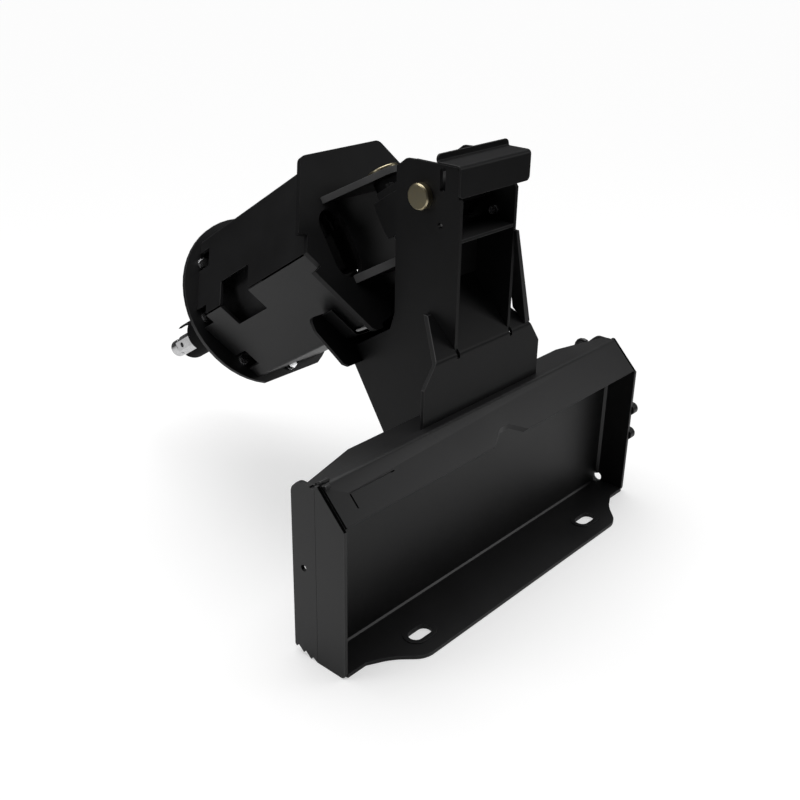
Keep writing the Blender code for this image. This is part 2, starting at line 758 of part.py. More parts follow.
def build_apron(assembly, tray):
    """The bent plate that ties the tray to the mast."""
    back = TRAY_DEPTH + PLATE_STOCK + FIT
    bottom = TRAY_HEIGHT + FIT
    top = (back + APRON_SLOPE_LENGTH * math.cos(APRON_SLOPE),
           APRON_BEND_HEIGHT + APRON_SLOPE_LENGTH * math.sin(APRON_SLOPE))
    profile = rounded([(back, bottom), (back, APRON_BEND_HEIGHT), top], {1: FLANGE_BEND_RADIUS}, 3, False)
    apron = bent_piece(assembly, "apron", profile, 2 * APRON_HALF_WIDTH, PLATE_STOCK, tray, shift(),
                       "black_paint")
    ear_height = APRON_BEND_HEIGHT + APRON_EAR_LENGTH * math.sin(APRON_SLOPE)
    slot_inner = MAST_INNER - FIT
    slot_outer = MAST_HALF_WIDTH + FIT
    past = APRON_HALF_WIDTH + PLATE_STOCK
    above = top[1] + 2 * PLATE_STOCK
    waste = [(past, APRON_SHOULDER_HEIGHT), (past, above), (slot_inner, above),
             (slot_inner, APRON_BEND_HEIGHT - 2 * APRON_RELIEF),
             (slot_outer, APRON_BEND_HEIGHT - 2 * APRON_RELIEF), (slot_outer, ear_height),
             (slot_outer + APRON_EAR_TIP, ear_height), (APRON_SHOULDER_HALF, APRON_BEND_HEIGHT),
             (APRON_HALF_WIDTH, APRON_SHOULDER_HEIGHT)]
    for side in (1, -1):
        outline = [(side * x, z) for x, z in waste]
        depth = top[0] - back + 4 * PLATE_STOCK
        assembly.cut(apron, flat_mesh(outline, depth), tray, shift(y=back + depth - PLATE_STOCK) @ FACING_BACK)


def arm_edge():
    """The arm's upper edge, parallel to the drive and just under its face plate."""
    drop = FACE_HALF_HEIGHT + ARM_GAP
    down = Vector((math.cos(DROOP), -math.sin(DROOP)))
    across = Vector((math.sin(DROOP), math.cos(DROOP)))
    pin = Vector((TRAY_DEPTH + MAIN_PIN_REACH, MAIN_PIN_HEIGHT))
    start = pin - across * drop
    front = TRAY_DEPTH + MAST_FRONT
    corner = start + down * ((front + ARM_SHOULDER_REACH - start.x) / down.x)
    tip = start + down * ((TRAY_DEPTH + ARM_FRONT - start.x) / down.x)
    return tuple(corner), tuple(tip)


def build_mast(assembly, tray):
    """Two side plates with their arms, the cap, the shelf and its web."""
    back = TRAY_DEPTH + PLATE_STOCK + FIT
    rear = back + PLATE_STOCK + FIT
    skirt = TRAY_DEPTH + CAP_BACK
    inside_skirt = skirt + CAP_STOCK + FIT
    front = TRAY_DEPTH + MAST_FRONT
    corner, tip = arm_edge()
    skirt_foot = MAST_HEIGHT + CAP_STOCK + FIT - CAP_SKIRT
    outline = [(back, ARM_BOTTOM_HEIGHT), (TRAY_DEPTH + ARM_FOOT_REACH, ARM_BOTTOM_HEIGHT),
               (TRAY_DEPTH + ARM_KNEE_REACH, ARM_KNEE_HEIGHT), (TRAY_DEPTH + ARM_FRONT, ARM_TIP_HEIGHT), tip,
               corner, (front, ARM_SHOULDER_HEIGHT),
               (front, MAST_HEIGHT - MAST_BEVEL_HEIGHT - MAST_NOSE_HEIGHT),
               (front - MAST_NOSE_DEPTH, MAST_HEIGHT - MAST_BEVEL_HEIGHT),
               (front - MAST_NOSE_DEPTH - MAST_BEVEL_DEPTH, MAST_HEIGHT),
               (inside_skirt + CAP_CLEAR, MAST_HEIGHT), (inside_skirt, MAST_HEIGHT - CAP_CLEAR),
               (inside_skirt, skirt_foot - FIT), (rear, skirt_foot - FIT - CAP_CLEAR), (rear, TRAY_HEIGHT + FIT),
               (rear + PLATE_STOCK, TRAY_HEIGHT + FIT), (rear + PLATE_STOCK, TRAY_HEIGHT - PLATE_STOCK - FIT),
               (back, TRAY_HEIGHT - PLATE_STOCK - FIT)]
    pin_hole = circle(MAIN_PIN_RADIUS + FIT, SMALL_ROUND, (TRAY_DEPTH + MAIN_PIN_REACH, MAIN_PIN_HEIGHT))
    lock_hole = circle(MAST_HOLE_RADIUS, TINY_ROUND, (TRAY_DEPTH + MAST_HOLE_REACH, MAST_HOLE_HEIGHT))
    slot_middle = MAST_HEIGHT - MAST_SLOT_DROP - MAST_SLOT_LENGTH / 2
    slot = turned_quarter(obround(MAST_SLOT_LENGTH, MAST_SLOT_WIDTH, (0, 0), 3))
    slot = [(y + TRAY_DEPTH + MAST_SLOT_REACH, z + slot_middle) for y, z in slot]
    for side, word in ((-1, "left"), (1, "right")):
        start = MAST_INNER if side > 0 else -MAST_HALF_WIDTH
        flat_piece(assembly, "mast_plate_" + word, outline, MAST_STOCK, tray, shift(x=start) @ OUTLINE_YZ,
                   "black_paint", [pin_hole, lock_hole, slot])

    cap_top = MAST_HEIGHT + CAP_STOCK + FIT
    profile = [(skirt, skirt_foot), (skirt, cap_top), (skirt + CAP_DEPTH, cap_top),
               (skirt + CAP_DEPTH, cap_top + CAP_LIP)]
    profile = rounded(profile, {1: CAP_BEND_RADIUS, 2: CAP_LIP_RADIUS}, 3, False)
    cap_middle = (CAP_RIGHT - CAP_LEFT) / 2
    bent_piece(assembly, "mast_cap", profile, CAP_LEFT + CAP_RIGHT, CAP_STOCK, tray, shift(x=cap_middle),
               "black_paint")

    shelf_front = rear + SHELF_DEPTH
    web_foot = APRON_BEND_HEIGHT + (shelf_front - back) * math.tan(APRON_SLOPE) + 2 * FIT
    profile = [(rear, SHELF_HEIGHT), (shelf_front, SHELF_HEIGHT), (shelf_front, web_foot)]
    profile = rounded(profile, {1: SHELF_BEND_RADIUS}, 3, False)
    bent_piece(assembly, "mast_shelf", profile, 2 * (MAST_INNER - FIT), SHELF_STOCK, tray, shift(), "black_paint")


def cradle_flange_outline():
    """The V-shaped flange with round wing ends, slotted over the two arms."""
    inner = SHELL_APOTHEM + CRADLE_GAP
    rise = hexagon_half(inner, CRADLE_TOP)
    tip = CRADLE_FLANGE_TIP
    bottom = -CRADLE_FLANGE_BOTTOM
    slot_top = RUNNING_GAP - FACE_HALF_HEIGHT - ARM_GAP
    foot = tip - CRADLE_FOOT_INSET
    half = [(MAST_INNER - FIT, bottom), (MAST_INNER - FIT, slot_top), (MAST_HALF_WIDTH + FIT, slot_top),
            (MAST_HALF_WIDTH + FIT, bottom), (foot, bottom),
            (foot + CRADLE_FOOT_CHAMFER[0], bottom + CRADLE_FOOT_CHAMFER[1]),
            (tip, bottom + CRADLE_WING_HEIGHT), (tip, -CRADLE_TOP), rise[1], rise[0]]
    return mirrored(rounded(half, CRADLE_RADII, 3, False))


def build_cradle(assembly, cradle):
    """The bent seat under the drive body and the flange that holds it."""
    inner = SHELL_APOTHEM + CRADLE_GAP
    half = hexagon_half(inner, CRADLE_TOP)
    path = [(x, y) for x, y in reversed(half)] + [(-x, y) for x, y in half]
    path = rounded(path, {1: SHELL_BEND_RADIUS, 2: SHELL_BEND_RADIUS}, 3, False)
    start = MAIN_TO_SWIVEL + FACE_START + CRADLE_START
    turn_up = shift(y=start + CRADLE_REACH / 2) @ Matrix.Rotation(math.radians(90), 4, "Z")
    bent_piece(assembly, "cradle_seat", [(-x, y) for x, y in path], CRADLE_REACH - FIT, CRADLE_STOCK,
               cradle, turn_up, "black_paint")
    flange_front = start + CRADLE_REACH + CRADLE_FLANGE_STOCK
    flat_piece(assembly, "cradle_flange", cradle_flange_outline(), CRADLE_FLANGE_STOCK, cradle,
               shift(y=flange_front) @ FACING_BACK, "black_paint")


def build_main_pin(assembly, tray):
    """The headed pin through the mast, with its retaining ring."""
    place = shift(y=TRAY_DEPTH + MAIN_PIN_REACH, z=MAIN_PIN_HEIGHT) @ ALONG_X
    head = -MAST_HALF_WIDTH - FIT
    tail = MAST_HALF_WIDTH + MAIN_PIN_TAIL
    points = [(0, tail), (MAIN_PIN_RADIUS - PIN_TAIL_CHAMFER, tail), (MAIN_PIN_RADIUS, tail - PIN_TAIL_CHAMFER),
              (MAIN_PIN_RADIUS, head), (MAIN_PIN_HEAD_RADIUS, head),
              (MAIN_PIN_HEAD_RADIUS, head - MAIN_PIN_HEAD + PIN_HEAD_CHAMFER),
              (MAIN_PIN_HEAD_RADIUS - PIN_HEAD_CHAMFER, head - MAIN_PIN_HEAD), (0, head - MAIN_PIN_HEAD)]
    turned_piece(assembly, "main_pin", points, tray, place, "gold_zinc", SMALL_ROUND, False)
    start = MAST_HALF_WIDTH + FIT
    ring = ring_profile(MAIN_PIN_HEAD_RADIUS, MAIN_PIN_RADIUS + FIT, start, start + PIN_RING_STOCK)
    turned_piece(assembly, "main_pin_ring", ring, tray, place, "bright_zinc", SMALL_ROUND)


def build_knuckle(assembly, knuckle):
    """The two-way joint block between the mast and the drive's ears."""
    bore = circle(MAIN_PIN_RADIUS + FIT, SMALL_ROUND)
    front = MAIN_TO_SWIVEL - KNUCKLE_FRONT
    height = KNUCKLE_HALF_HEIGHT
    tail = [(height * math.cos(math.radians(a)), height * math.sin(math.radians(a))) for a in range(90, 271, 20)]
    slope_end = height - KNUCKLE_NOSE_SLOPE
    side_outline = tail + [(front, -height), (front + KNUCKLE_NOSE, -slope_end), (front + KNUCKLE_NOSE, slope_end),
                           (front, height)]
    for side, word in ((-1, "left"), (1, "right")):
        start = KNUCKLE_HALF_WIDTH - KNUCKLE_STOCK if side > 0 else -KNUCKLE_HALF_WIDTH
        flat_piece(assembly, "knuckle_side_" + word, side_outline, KNUCKLE_STOCK, knuckle,
                   shift(x=start) @ OUTLINE_YZ, "black_paint", [bore])
    inner = KNUCKLE_HALF_WIDTH - KNUCKLE_STOCK - FIT
    tube = ring_profile(KNUCKLE_TUBE_RADIUS, MAIN_PIN_RADIUS + FIT, -inner, inner)
    turned_piece(assembly, "knuckle_pin_tube", tube, knuckle, ALONG_X, "black_paint")

    low = -EAR_GAP_BOTTOM + RUNNING_GAP
    high = EAR_GAP_TOP - RUNNING_GAP
    tube = ring_profile(SWIVEL_TUBE_RADIUS, SWIVEL_PIN_RADIUS + FIT, low, high)
    turned_piece(assembly, "knuckle_swivel_tube", tube, knuckle, shift(y=MAIN_TO_SWIVEL), "black_paint")

    seat_radius = SWIVEL_TUBE_RADIUS + FIT
    arc = []
    for step in range(SMALL_ROUND // 2 + 1):
        angle = math.pi + 2 * math.pi * step / SMALL_ROUND
        arc.append((seat_radius * math.cos(angle), MAIN_TO_SWIVEL + seat_radius * math.sin(angle)))
    rear = KNUCKLE_HALF_HEIGHT + KNUCKLE_CAP_OVERHANG
    horn = seat_radius + KNUCKLE_CAP_HORN
    shoulder = front - KNUCKLE_NOSE_SLOPE
    web = [(KNUCKLE_HALF_WIDTH, rear), (KNUCKLE_HALF_WIDTH, shoulder), (horn, MAIN_TO_SWIVEL)]
    web += list(reversed(arc))
    web += [(-horn, MAIN_TO_SWIVEL), (-KNUCKLE_HALF_WIDTH, shoulder), (-KNUCKLE_HALF_WIDTH, rear)]
    top = KNUCKLE_HALF_HEIGHT + FIT
    flat_piece(assembly, "knuckle_bottom_plate", web, KNUCKLE_CAP_STOCK, knuckle,
               shift(z=-top - KNUCKLE_CAP_STOCK), "black_paint")
    parts = [(flat_mesh(web, KNUCKLE_CAP_STOCK), shift(z=top))]
    stud = cylinder_mesh(KNUCKLE_STUD_RADIUS, KNUCKLE_STUD_HEIGHT + KNUCKLE_CAP_STOCK / 2, TINY_ROUND)
    for x in (-KNUCKLE_STUD_SPREAD, KNUCKLE_STUD_SPREAD):
        for y in (rear + KNUCKLE_STUD_INSET, front - 2 * KNUCKLE_STUD_INSET):
            parts.append((stud, shift(x, y, top + KNUCKLE_CAP_STOCK / 2)))
    assembly.piece("knuckle_top_plate", fused(parts), knuckle, shift(), "black_paint")


def ear_outline():
    """A tapered ear with a round end about the swivel pin."""
    base = Vector((EAR_BASE_HALF, FACE_START - FIT))
    spread = math.atan2(base.y, base.x) - math.acos(EAR_TIP_RADIUS / base.length)
    points = [tuple(base)]
    steps = 12
    for step in range(steps + 1):
        angle = spread + (-math.pi - 2 * spread) * step / steps
        points.append((EAR_TIP_RADIUS * math.cos(angle), EAR_TIP_RADIUS * math.sin(angle)))
    points.append((-base.x, base.y))
    return points


def build_ears(assembly, drive):
    """Two ears on the face plate and the headed swivel pin through them."""
    hole = circle(SWIVEL_PIN_RADIUS + FIT, SMALL_ROUND)
    flat_piece(assembly, "ear_upper", ear_outline(), EAR_STOCK_TOP, drive, shift(z=EAR_GAP_TOP),
               "cut_edge_paint", [hole])
    flat_piece(assembly, "ear_lower", ear_outline(), EAR_STOCK_BOTTOM, drive,
               shift(z=-EAR_GAP_BOTTOM - EAR_STOCK_BOTTOM), "cut_edge_paint", [hole])
    seat = EAR_GAP_TOP + EAR_STOCK_TOP + FIT
    foot = -EAR_GAP_BOTTOM - EAR_STOCK_BOTTOM - SWIVEL_TAIL
    points = [(0, seat + SWIVEL_HEAD), (SWIVEL_HEAD_RADIUS - PIN_TAIL_CHAMFER, seat + SWIVEL_HEAD),
              (SWIVEL_HEAD_RADIUS, seat + SWIVEL_HEAD - PIN_TAIL_CHAMFER), (SWIVEL_HEAD_RADIUS, seat),
              (SWIVEL_PIN_RADIUS, seat), (SWIVEL_PIN_RADIUS, foot), (0, foot)]
    turned_piece(assembly, "swivel_pin", points, drive, shift(), "gold_zinc", SMALL_ROUND, False)
    ring_top = -EAR_GAP_BOTTOM - EAR_STOCK_BOTTOM - FIT
    ring = ring_profile(SWIVEL_HEAD_RADIUS - 0.008, SWIVEL_PIN_RADIUS + FIT, ring_top - PIN_RING_STOCK, ring_top)
    turned_piece(assembly, "swivel_pin_ring", ring, drive, shift(), "bright_zinc")


def face_outline():
    """The stretched hexagon of the face plate, notched back to the shell at each side."""
    slope = (FACE_HALF_MIDDLE - FACE_HALF_TOP) / FACE_HALF_HEIGHT
    edge = FACE_HALF_MIDDLE - FACE_NOTCH_HALF * slope
    shell_slope = SHELL_HALF_FLAT / SHELL_APOTHEM
    inset_height = FACE_NOTCH_HALF - FACE_NOTCH_STEP
    waist = SHELL_HALF_MIDDLE + FACE_NOTCH_CLEAR
    inset = waist - inset_height * shell_slope
    half = [(FACE_HALF_TOP, -FACE_HALF_HEIGHT), (edge, -FACE_NOTCH_HALF), (inset, -inset_height),
            (waist, 0.0), (inset, inset_height), (edge, FACE_NOTCH_HALF),
            (FACE_HALF_TOP, FACE_HALF_HEIGHT)]
    full = mirrored(half)
    last = len(full) - 1
    corners = {0: FACE_CORNER_RADIUS, 6: FACE_CORNER_RADIUS, last - 6: FACE_CORNER_RADIUS,
               last: FACE_CORNER_RADIUS}
    return rounded(full, corners, 4)


def build_body(assembly, drive):
    """Face plate, the two bent shells, the flange disc and its bolts."""
    slots = []
    for side in (1, -1):
        slot = turned_quarter(obround(HOSE_SLOT_LENGTH, HOSE_SLOT_WIDTH, (0, 0), 8))
        slots.append([(x + side * HOSE_SLOT_OFFSET, y) for x, y in slot])
    flat_piece(assembly, "face_plate", face_outline(), FACE_STOCK, drive, shift(y=FACE_END) @ FACING_BACK,
               "black_paint", slots)

    start = FACE_END + FIT
    length = BODY_END - FIT - start
    flat = [(-SHELL_HALF_MIDDLE, 0.0), (-SHELL_HALF_FLAT, SHELL_APOTHEM), (SHELL_HALF_FLAT, SHELL_APOTHEM),
            (SHELL_HALF_MIDDLE, 0.0)]
    path = rounded(flat, {1: SHELL_BEND_RADIUS, 2: SHELL_BEND_RADIUS}, 3, False)
    lie_along = shift(y=start + length / 2) @ Matrix.Rotation(math.radians(90), 4, "Z")
    window_low = FACE_START + WINDOW_START
    half_window = WINDOW_ALONG_FACE * math.sin(math.radians(60))
    for side, word in ((1, "upper"), (-1, "lower")):
        flip = Matrix.Rotation(0.0 if side > 0 else math.pi, 4, "Y")
        shell = bent_piece(assembly, "shell_" + word, path, length, SHELL_STOCK, drive, flip @ lie_along,
                           "black_paint")
        width = SHELL_HALF_MIDDLE + SHELL_STOCK
        seam = box_mesh((-width, start - SHELL_STOCK, -2 * SHELL_STOCK), (width, BODY_END + SHELL_STOCK, FIT / 2))
        assembly.cut(shell, seam, drive, flip)
        for hand in (1, -1):
            outside = hand * (SHELL_HALF_MIDDLE + CUT_MARGIN)
            reach = sorted((outside, outside - hand * (WINDOW_DEPTH + CUT_MARGIN)))
            window = box_mesh((reach[0], window_low, -half_window),
                              (reach[1], window_low + WINDOW_LENGTH, half_window))
            assembly.cut(shell, window, drive, shift())
        for index in range(FLANGE_BOLTS):
            angle = 2 * math.pi * index / FLANGE_BOLTS
            if side * math.sin(angle) < -0.1:
                continue
            half = BOLT_RELIEF_WIDTH / 2
            relief = box_mesh((FLANGE_BOLT_CIRCLE - half, -BOLT_RELIEF_LENGTH, -half),
                              (SHELL_HALF_MIDDLE + CUT_MARGIN, DISC_STOCK, half))
            spin = Matrix.Rotation(-angle, 4, "Y")
            assembly.cut(shell, relief, drive, shift(y=BODY_END) @ spin)

    chord = math.asin(DISC_FLAT / DISC_RADIUS)
    rim = []
    for step in range(LARGE_ROUND + 1):
        angle = -chord + (math.pi + 2 * chord) * step / LARGE_ROUND
        rim.append((DISC_RADIUS * math.cos(angle), DISC_RADIUS * math.sin(angle)))
    hole = circle(HOUSING_SLEEVE_RADIUS + RUNNING_GAP, LARGE_ROUND)
    flat_piece(assembly, "flange_disc", rim, DISC_STOCK, drive, shift(y=DISC_END) @ FACING_BACK,
               "black_paint", [hole])
    bolt = bolt_mesh(FLANGE_BOLT_RADIUS, FLANGE_BOLT_HEAD)
    for index in range(FLANGE_BOLTS):
        angle = 2 * math.pi * index / FLANGE_BOLTS
        place = shift(FLANGE_BOLT_CIRCLE * math.cos(angle), BODY_END, FLANGE_BOLT_CIRCLE * math.sin(angle))
        assembly.piece("flange_bolt_%d" % (index + 1), bolt, drive, place @ FACING_BACK, "bright_zinc")


def build_motor(assembly, drive):
    """The hydraulic motor behind the gearbox, its end cover and its ports."""
    front = CASE_BACK - FIT
    back = front - MOTOR_LENGTH
    outline = circle(MOTOR_RADIUS, LARGE_ROUND // 2)
    bore = circle(MOTOR_SHAFT_RADIUS + RUNNING_GAP, TINY_ROUND)
    flat_piece(assembly, "motor_body", outline, MOTOR_LENGTH, drive, shift(y=front) @ FACING_BACK,
               "cast_case", [bore])
    half = MOTOR_CAP_HALF
    square = rounded([(-half, -half), (half, -half), (half, half), (-half, half)],
                     {index: MOTOR_CAP_CORNER for index in range(4)}, 2)
    parts = [(flat_mesh(square, MOTOR_CAP_LENGTH), shift(y=back - FIT) @ FACING_BACK)]
    middle = back - FIT - MOTOR_CAP_LENGTH / 2
    port = cylinder_mesh(PORT_RADIUS, PORT_LENGTH + half / 2, 6)
    neck = cylinder_mesh(PORT_NECK_RADIUS, PORT_NECK_LENGTH + half / 2, TINY_ROUND)
    for side in (-1, 1):
        place = shift(side * PORT_SPREAD, middle, half / 2)
        parts.append((port, place))
        parts.append((neck, place))
    assembly.piece("motor_end_cover", fused(parts), drive, shift(), "cast_case")


def build_gearbox(assembly, drive):
    """The gear case, its rear cover, the ring gear and the output housing."""
    cover_end = CASE_BACK + CASE_COVER
    pilot = MOTOR_SHAFT_RADIUS + RUNNING_GAP
    cover = ring_profile(CASE_RADIUS, pilot, CASE_BACK, cover_end)
    turned_piece(assembly, "case_rear_cover", cover, drive, ALONG_DRIVE, "cast_case", LARGE_ROUND)
    case = ring_profile(CASE_RADIUS, CASE_RADIUS - CASE_WALL, cover_end + FIT, BODY_END - FIT)
    turned_piece(assembly, "gear_case", case, drive, ALONG_DRIVE, "cast_case", LARGE_ROUND)

    pitch = GEAR_MODULE * RING_TEETH / 2
    base = pitch * math.cos(PRESSURE_ANGLE)
    tip = max(pitch - GEAR_MODULE, math.hypot(base, PLANET_ORBIT * math.sin(PRESSURE_ANGLE)))
    teeth = gear_outline(RING_TEETH, ring_phase(), tip)
    rim = circle(CASE_RADIUS - CASE_WALL - FIT, LARGE_ROUND)
    flat_piece(assembly, "ring_gear", rim, GEAR_WIDTH, drive, shift(y=GEAR_BACK) @ ALONG_DRIVE,
               "gear_steel", [teeth])

    sleeve_back = BODY_END - HOUSING_SLEEVE_LENGTH
    bore_end = FLANGE_END + HOUSING_NECK_LENGTH / 2
    throat = SHAFT_RADIUS + 4 * RUNNING_GAP
    points = [(GUARD_RADIUS, NECK_END), (HOUSING_SHOULDER_RADIUS, FLANGE_END), (HOUSING_FLANGE_RADIUS, FLANGE_END),
              (HOUSING_FLANGE_RADIUS, FLANGE_START), (HOUSING_SLEEVE_RADIUS, FLANGE_START),
              (HOUSING_SLEEVE_RADIUS, sleeve_back), (HOUSING_BORE_RADIUS, sleeve_back),
              (HOUSING_BORE_RADIUS, bore_end), (throat, bore_end), (throat, NECK_END)]
    turned_piece(assembly, "output_housing", points, drive, ALONG_DRIVE, "black_paint", LARGE_ROUND)

    race_outer = HOUSING_BORE_RADIUS - FIT
    seats = {"rear": sleeve_back + BEARING_SETBACK, "front": bore_end - SEAL_WIDTH - BEARING_WIDTH - 3 * FIT}
    cup = ring_mesh(race_outer, race_outer - BEARING_RACE, BEARING_WIDTH, SMALL_ROUND)
    for word, start in seats.items():
        assembly.piece("bearing_cup_" + word, cup, drive, ALONG_DRIVE @ shift(z=start), "gear_steel")
    seal = ring_profile(race_outer, throat, bore_end - SEAL_WIDTH - FIT, bore_end - FIT)
    turned_piece(assembly, "shaft_seal", seal, drive, ALONG_DRIVE, "seal_rubber", SMALL_ROUND)
    return seats


def build_guard(assembly, drive):
    """The tube round the output shaft, with an open window at its end."""
    start = NECK_END + FIT
    points = ring_profile(GUARD_RADIUS, GUARD_RADIUS - GUARD_WALL, start, GUARD_END)
    guard = turned_piece(assembly, "output_guard", points, drive, ALONG_DRIVE, "black_paint", SMALL_ROUND)
    half = GUARD_WINDOW_HALF
    window = box_mesh((-GUARD_RADIUS - GUARD_WALL, GUARD_END - GUARD_WINDOW, -half),
                      (-half, GUARD_END + GUARD_WALL, half))
    tilt = Matrix.Rotation(math.radians(45), 4, "Y")
    assembly.cut(guard, window, drive, tilt)


def shaft_profile(hex_end):
    """The round parts of the output shaft, down its outer side from the nose."""
    nut = FACE_START + NUT_START
    back = GEAR_FRONT + 4 * RUNNING_GAP
    reach = PLANET_ORBIT + CARRIER_MARGIN
    end = hex_end + NOSE_LENGTH
    return [(0, end), (NOSE_RADIUS - NOSE_CHAMFER, end), (NOSE_RADIUS, end - NOSE_CHAMFER), (NOSE_RADIUS, hex_end),
            (THREAD_RADIUS, hex_end), (THREAD_RADIUS, nut - NUT_RELIEF), (SHAFT_RADIUS - NUT_RELIEF, nut - NUT_RELIEF),
            (SHAFT_RADIUS, nut - 3 * NUT_RELIEF), (SHAFT_RADIUS, back + CARRIER_PLATE), (reach, back + CARRIER_PLATE),
            (reach, back), (0, back)]


def build_output(assembly, output, seats):
    """Output shaft with its hexagon, lock nut, planet carrier and bearing cones."""
    nut = FACE_START + NUT_START
    hex_start = nut + NUT_WIDTH + FIT
    hex_end = hex_start + HEX_LENGTH
    corner_radius = HEX_ACROSS_FLATS / 2 / math.cos(math.radians(30))
    shaft = turned_piece(assembly, "output_shaft", shaft_profile(hex_end), output, shift(), "bare_steel",
                         SMALL_ROUND, False)
    assembly.combine(shaft, cylinder_mesh(corner_radius, HEX_LENGTH, 6), output, shift(z=hex_start))
    hole = cylinder_mesh(CROSS_HOLE_RADIUS, 3 * corner_radius, TINY_ROUND)
    assembly.cut(shaft, hole, output, shift(z=hex_end - CROSS_HOLE_SETBACK) @ ALONG_X @ shift(z=-1.5 * corner_radius))

    castle = []
    for index in range(NUT_LOBES * 4):
        radius = NUT_RADIUS if index % 4 < 2 else NUT_RADIUS - NUT_SLOT_DEPTH
        angle = 2 * math.pi * (index - 0.5) / (NUT_LOBES * 4)
        castle.append((radius * math.cos(angle), radius * math.sin(angle)))
    flat_piece(assembly, "lock_nut", castle, NUT_WIDTH, output, shift(z=nut), "bright_zinc",
               [circle(THREAD_RADIUS + FIT, SMALL_ROUND)])

    reach = PLANET_ORBIT + CARRIER_MARGIN
    back_plate = GEAR_BACK - 4 * RUNNING_GAP - CARRIER_PLATE
    front_plate = GEAR_FRONT + 4 * RUNNING_GAP
    for angle in planet_angles():
        socket = cylinder_mesh(PLANET_PIN_RADIUS + FIT, 3 * CARRIER_PLATE, TINY_ROUND)
        spin = Matrix.Rotation(angle, 4, "Z")
        assembly.cut(shaft, socket, output, spin @ shift(x=PLANET_ORBIT, z=front_plate - CARRIER_PLATE))
    sun_hole = circle(MOTOR_SHAFT_RADIUS + 4 * RUNNING_GAP, SMALL_ROUND)
    parts = [(flat_mesh(circle(reach, LARGE_ROUND), CARRIER_PLATE, [sun_hole]), shift(z=back_plate))]
    pin_length = front_plate - back_plate + CARRIER_PLATE / 2
    pin = cylinder_mesh(PLANET_PIN_RADIUS, pin_length, TINY_ROUND)
    for angle in planet_angles():
        spin = Matrix.Rotation(angle, 4, "Z")
        parts.append((pin, spin @ shift(x=PLANET_ORBIT, z=back_plate + CARRIER_PLATE / 2)))
    assembly.piece("planet_carrier", fused(parts), output, shift(), "gear_steel")
    cone = ring_mesh(SHAFT_RADIUS + FIT + BEARING_RACE, SHAFT_RADIUS + FIT, BEARING_WIDTH, SMALL_ROUND)
    for word, start in seats.items():
        assembly.piece("bearing_cone_" + word, cone, output, shift(z=start), "gear_steel")


def build_gears(assembly, output, sun):
    """The sun gear on the motor shaft and the planets on their pins."""
    motor_back = CASE_BACK - MOTOR_LENGTH
    shaft = cylinder_mesh(MOTOR_SHAFT_RADIUS, GEAR_BACK + GEAR_WIDTH / 2 - motor_back, TINY_ROUND)
    teeth = flat_mesh(gear_outline(SUN_TEETH, 0.0), GEAR_WIDTH)
    gear = fused([(teeth, shift(z=GEAR_BACK)), (shaft, shift(z=motor_back))])
    assembly.piece("sun_shaft", gear, sun, shift(), "gear_steel")
    for index, angle in enumerate(planet_angles()):
        place = Matrix.Rotation(angle, 4, "Z") @ shift(x=PLANET_ORBIT)
        axis = assembly.frame("planet_axis_%d" % (index + 1), place, output)
        outline = gear_outline(PLANET_TEETH, planet_phase(angle) - angle)
        flat_piece(assembly, "planet_gear_%d" % (index + 1), outline, GEAR_WIDTH, axis, shift(z=GEAR_BACK),
                   "gear_steel", [circle(PLANET_PIN_RADIUS + RUNNING_GAP, TINY_ROUND)])


def build_small_parts(assembly, tray):
    """Wing bolts and the mast's lock bolt."""
    bolt = bolt_mesh(WING_BOLT_RADIUS, WING_BOLT_HEAD)
    for word, height in (("upper", WING_BOLT_HEIGHT), ("lower", WING_BOLT_HEIGHT - WING_BOLT_SPACING)):
        place = shift(HALF_TRAY, TRAY_DEPTH - WING_BOLT_REACH, height) @ ALONG_X
        assembly.piece("wing_bolt_" + word, bolt, tray, place, "black_paint")
    place = shift(MAST_INNER, TRAY_DEPTH + MAST_HOLE_REACH, MAST_HOLE_HEIGHT) @ ALONG_X.inverted()
    assembly.piece("lock_bolt", bolt_mesh(LOCK_BOLT_RADIUS, LOCK_BOLT_HEAD), tray, place, "bright_zinc")


def main():
    """Build the whole assembly."""
    clear_scene()
    assembly = Assembly()
    tray = assembly.frame("tray_frame", shift(y=-TRAY_DEPTH, z=-TRAY_HEIGHT / 2))
    pin_place = shift(y=TRAY_DEPTH + MAIN_PIN_REACH, z=MAIN_PIN_HEIGHT) @ Matrix.Rotation(-DROOP, 4, "X")
    cradle = assembly.frame("cradle_frame", pin_place, tray)
    knuckle = assembly.frame("main_pin_axis", pin_place, tray)
    drive = assembly.frame("swivel_axis", shift(y=MAIN_TO_SWIVEL), knuckle)
    output = assembly.frame("output_axis", ALONG_DRIVE, drive)
    sun = assembly.frame("sun_axis", ALONG_DRIVE, drive)
    build_tray(assembly, tray)
    build_apron(assembly, tray)
    build_mast(assembly, tray)
    build_cradle(assembly, cradle)
    build_main_pin(assembly, tray)
    build_small_parts(assembly, tray)
    build_knuckle(assembly, knuckle)
    build_ears(assembly, drive)
    build_body(assembly, drive)
    build_motor(assembly, drive)
    seats = build_gearbox(assembly, drive)
    build_guard(assembly, drive)
    build_output(assembly, output, seats)
    build_gears(assembly, output, sun)


main()
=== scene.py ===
"""Looks for the earth auger drive: paint, plating, plate edges, welds, fasteners and the studio."""

import json
import math

import bpy
from mathutils import Matrix, Vector

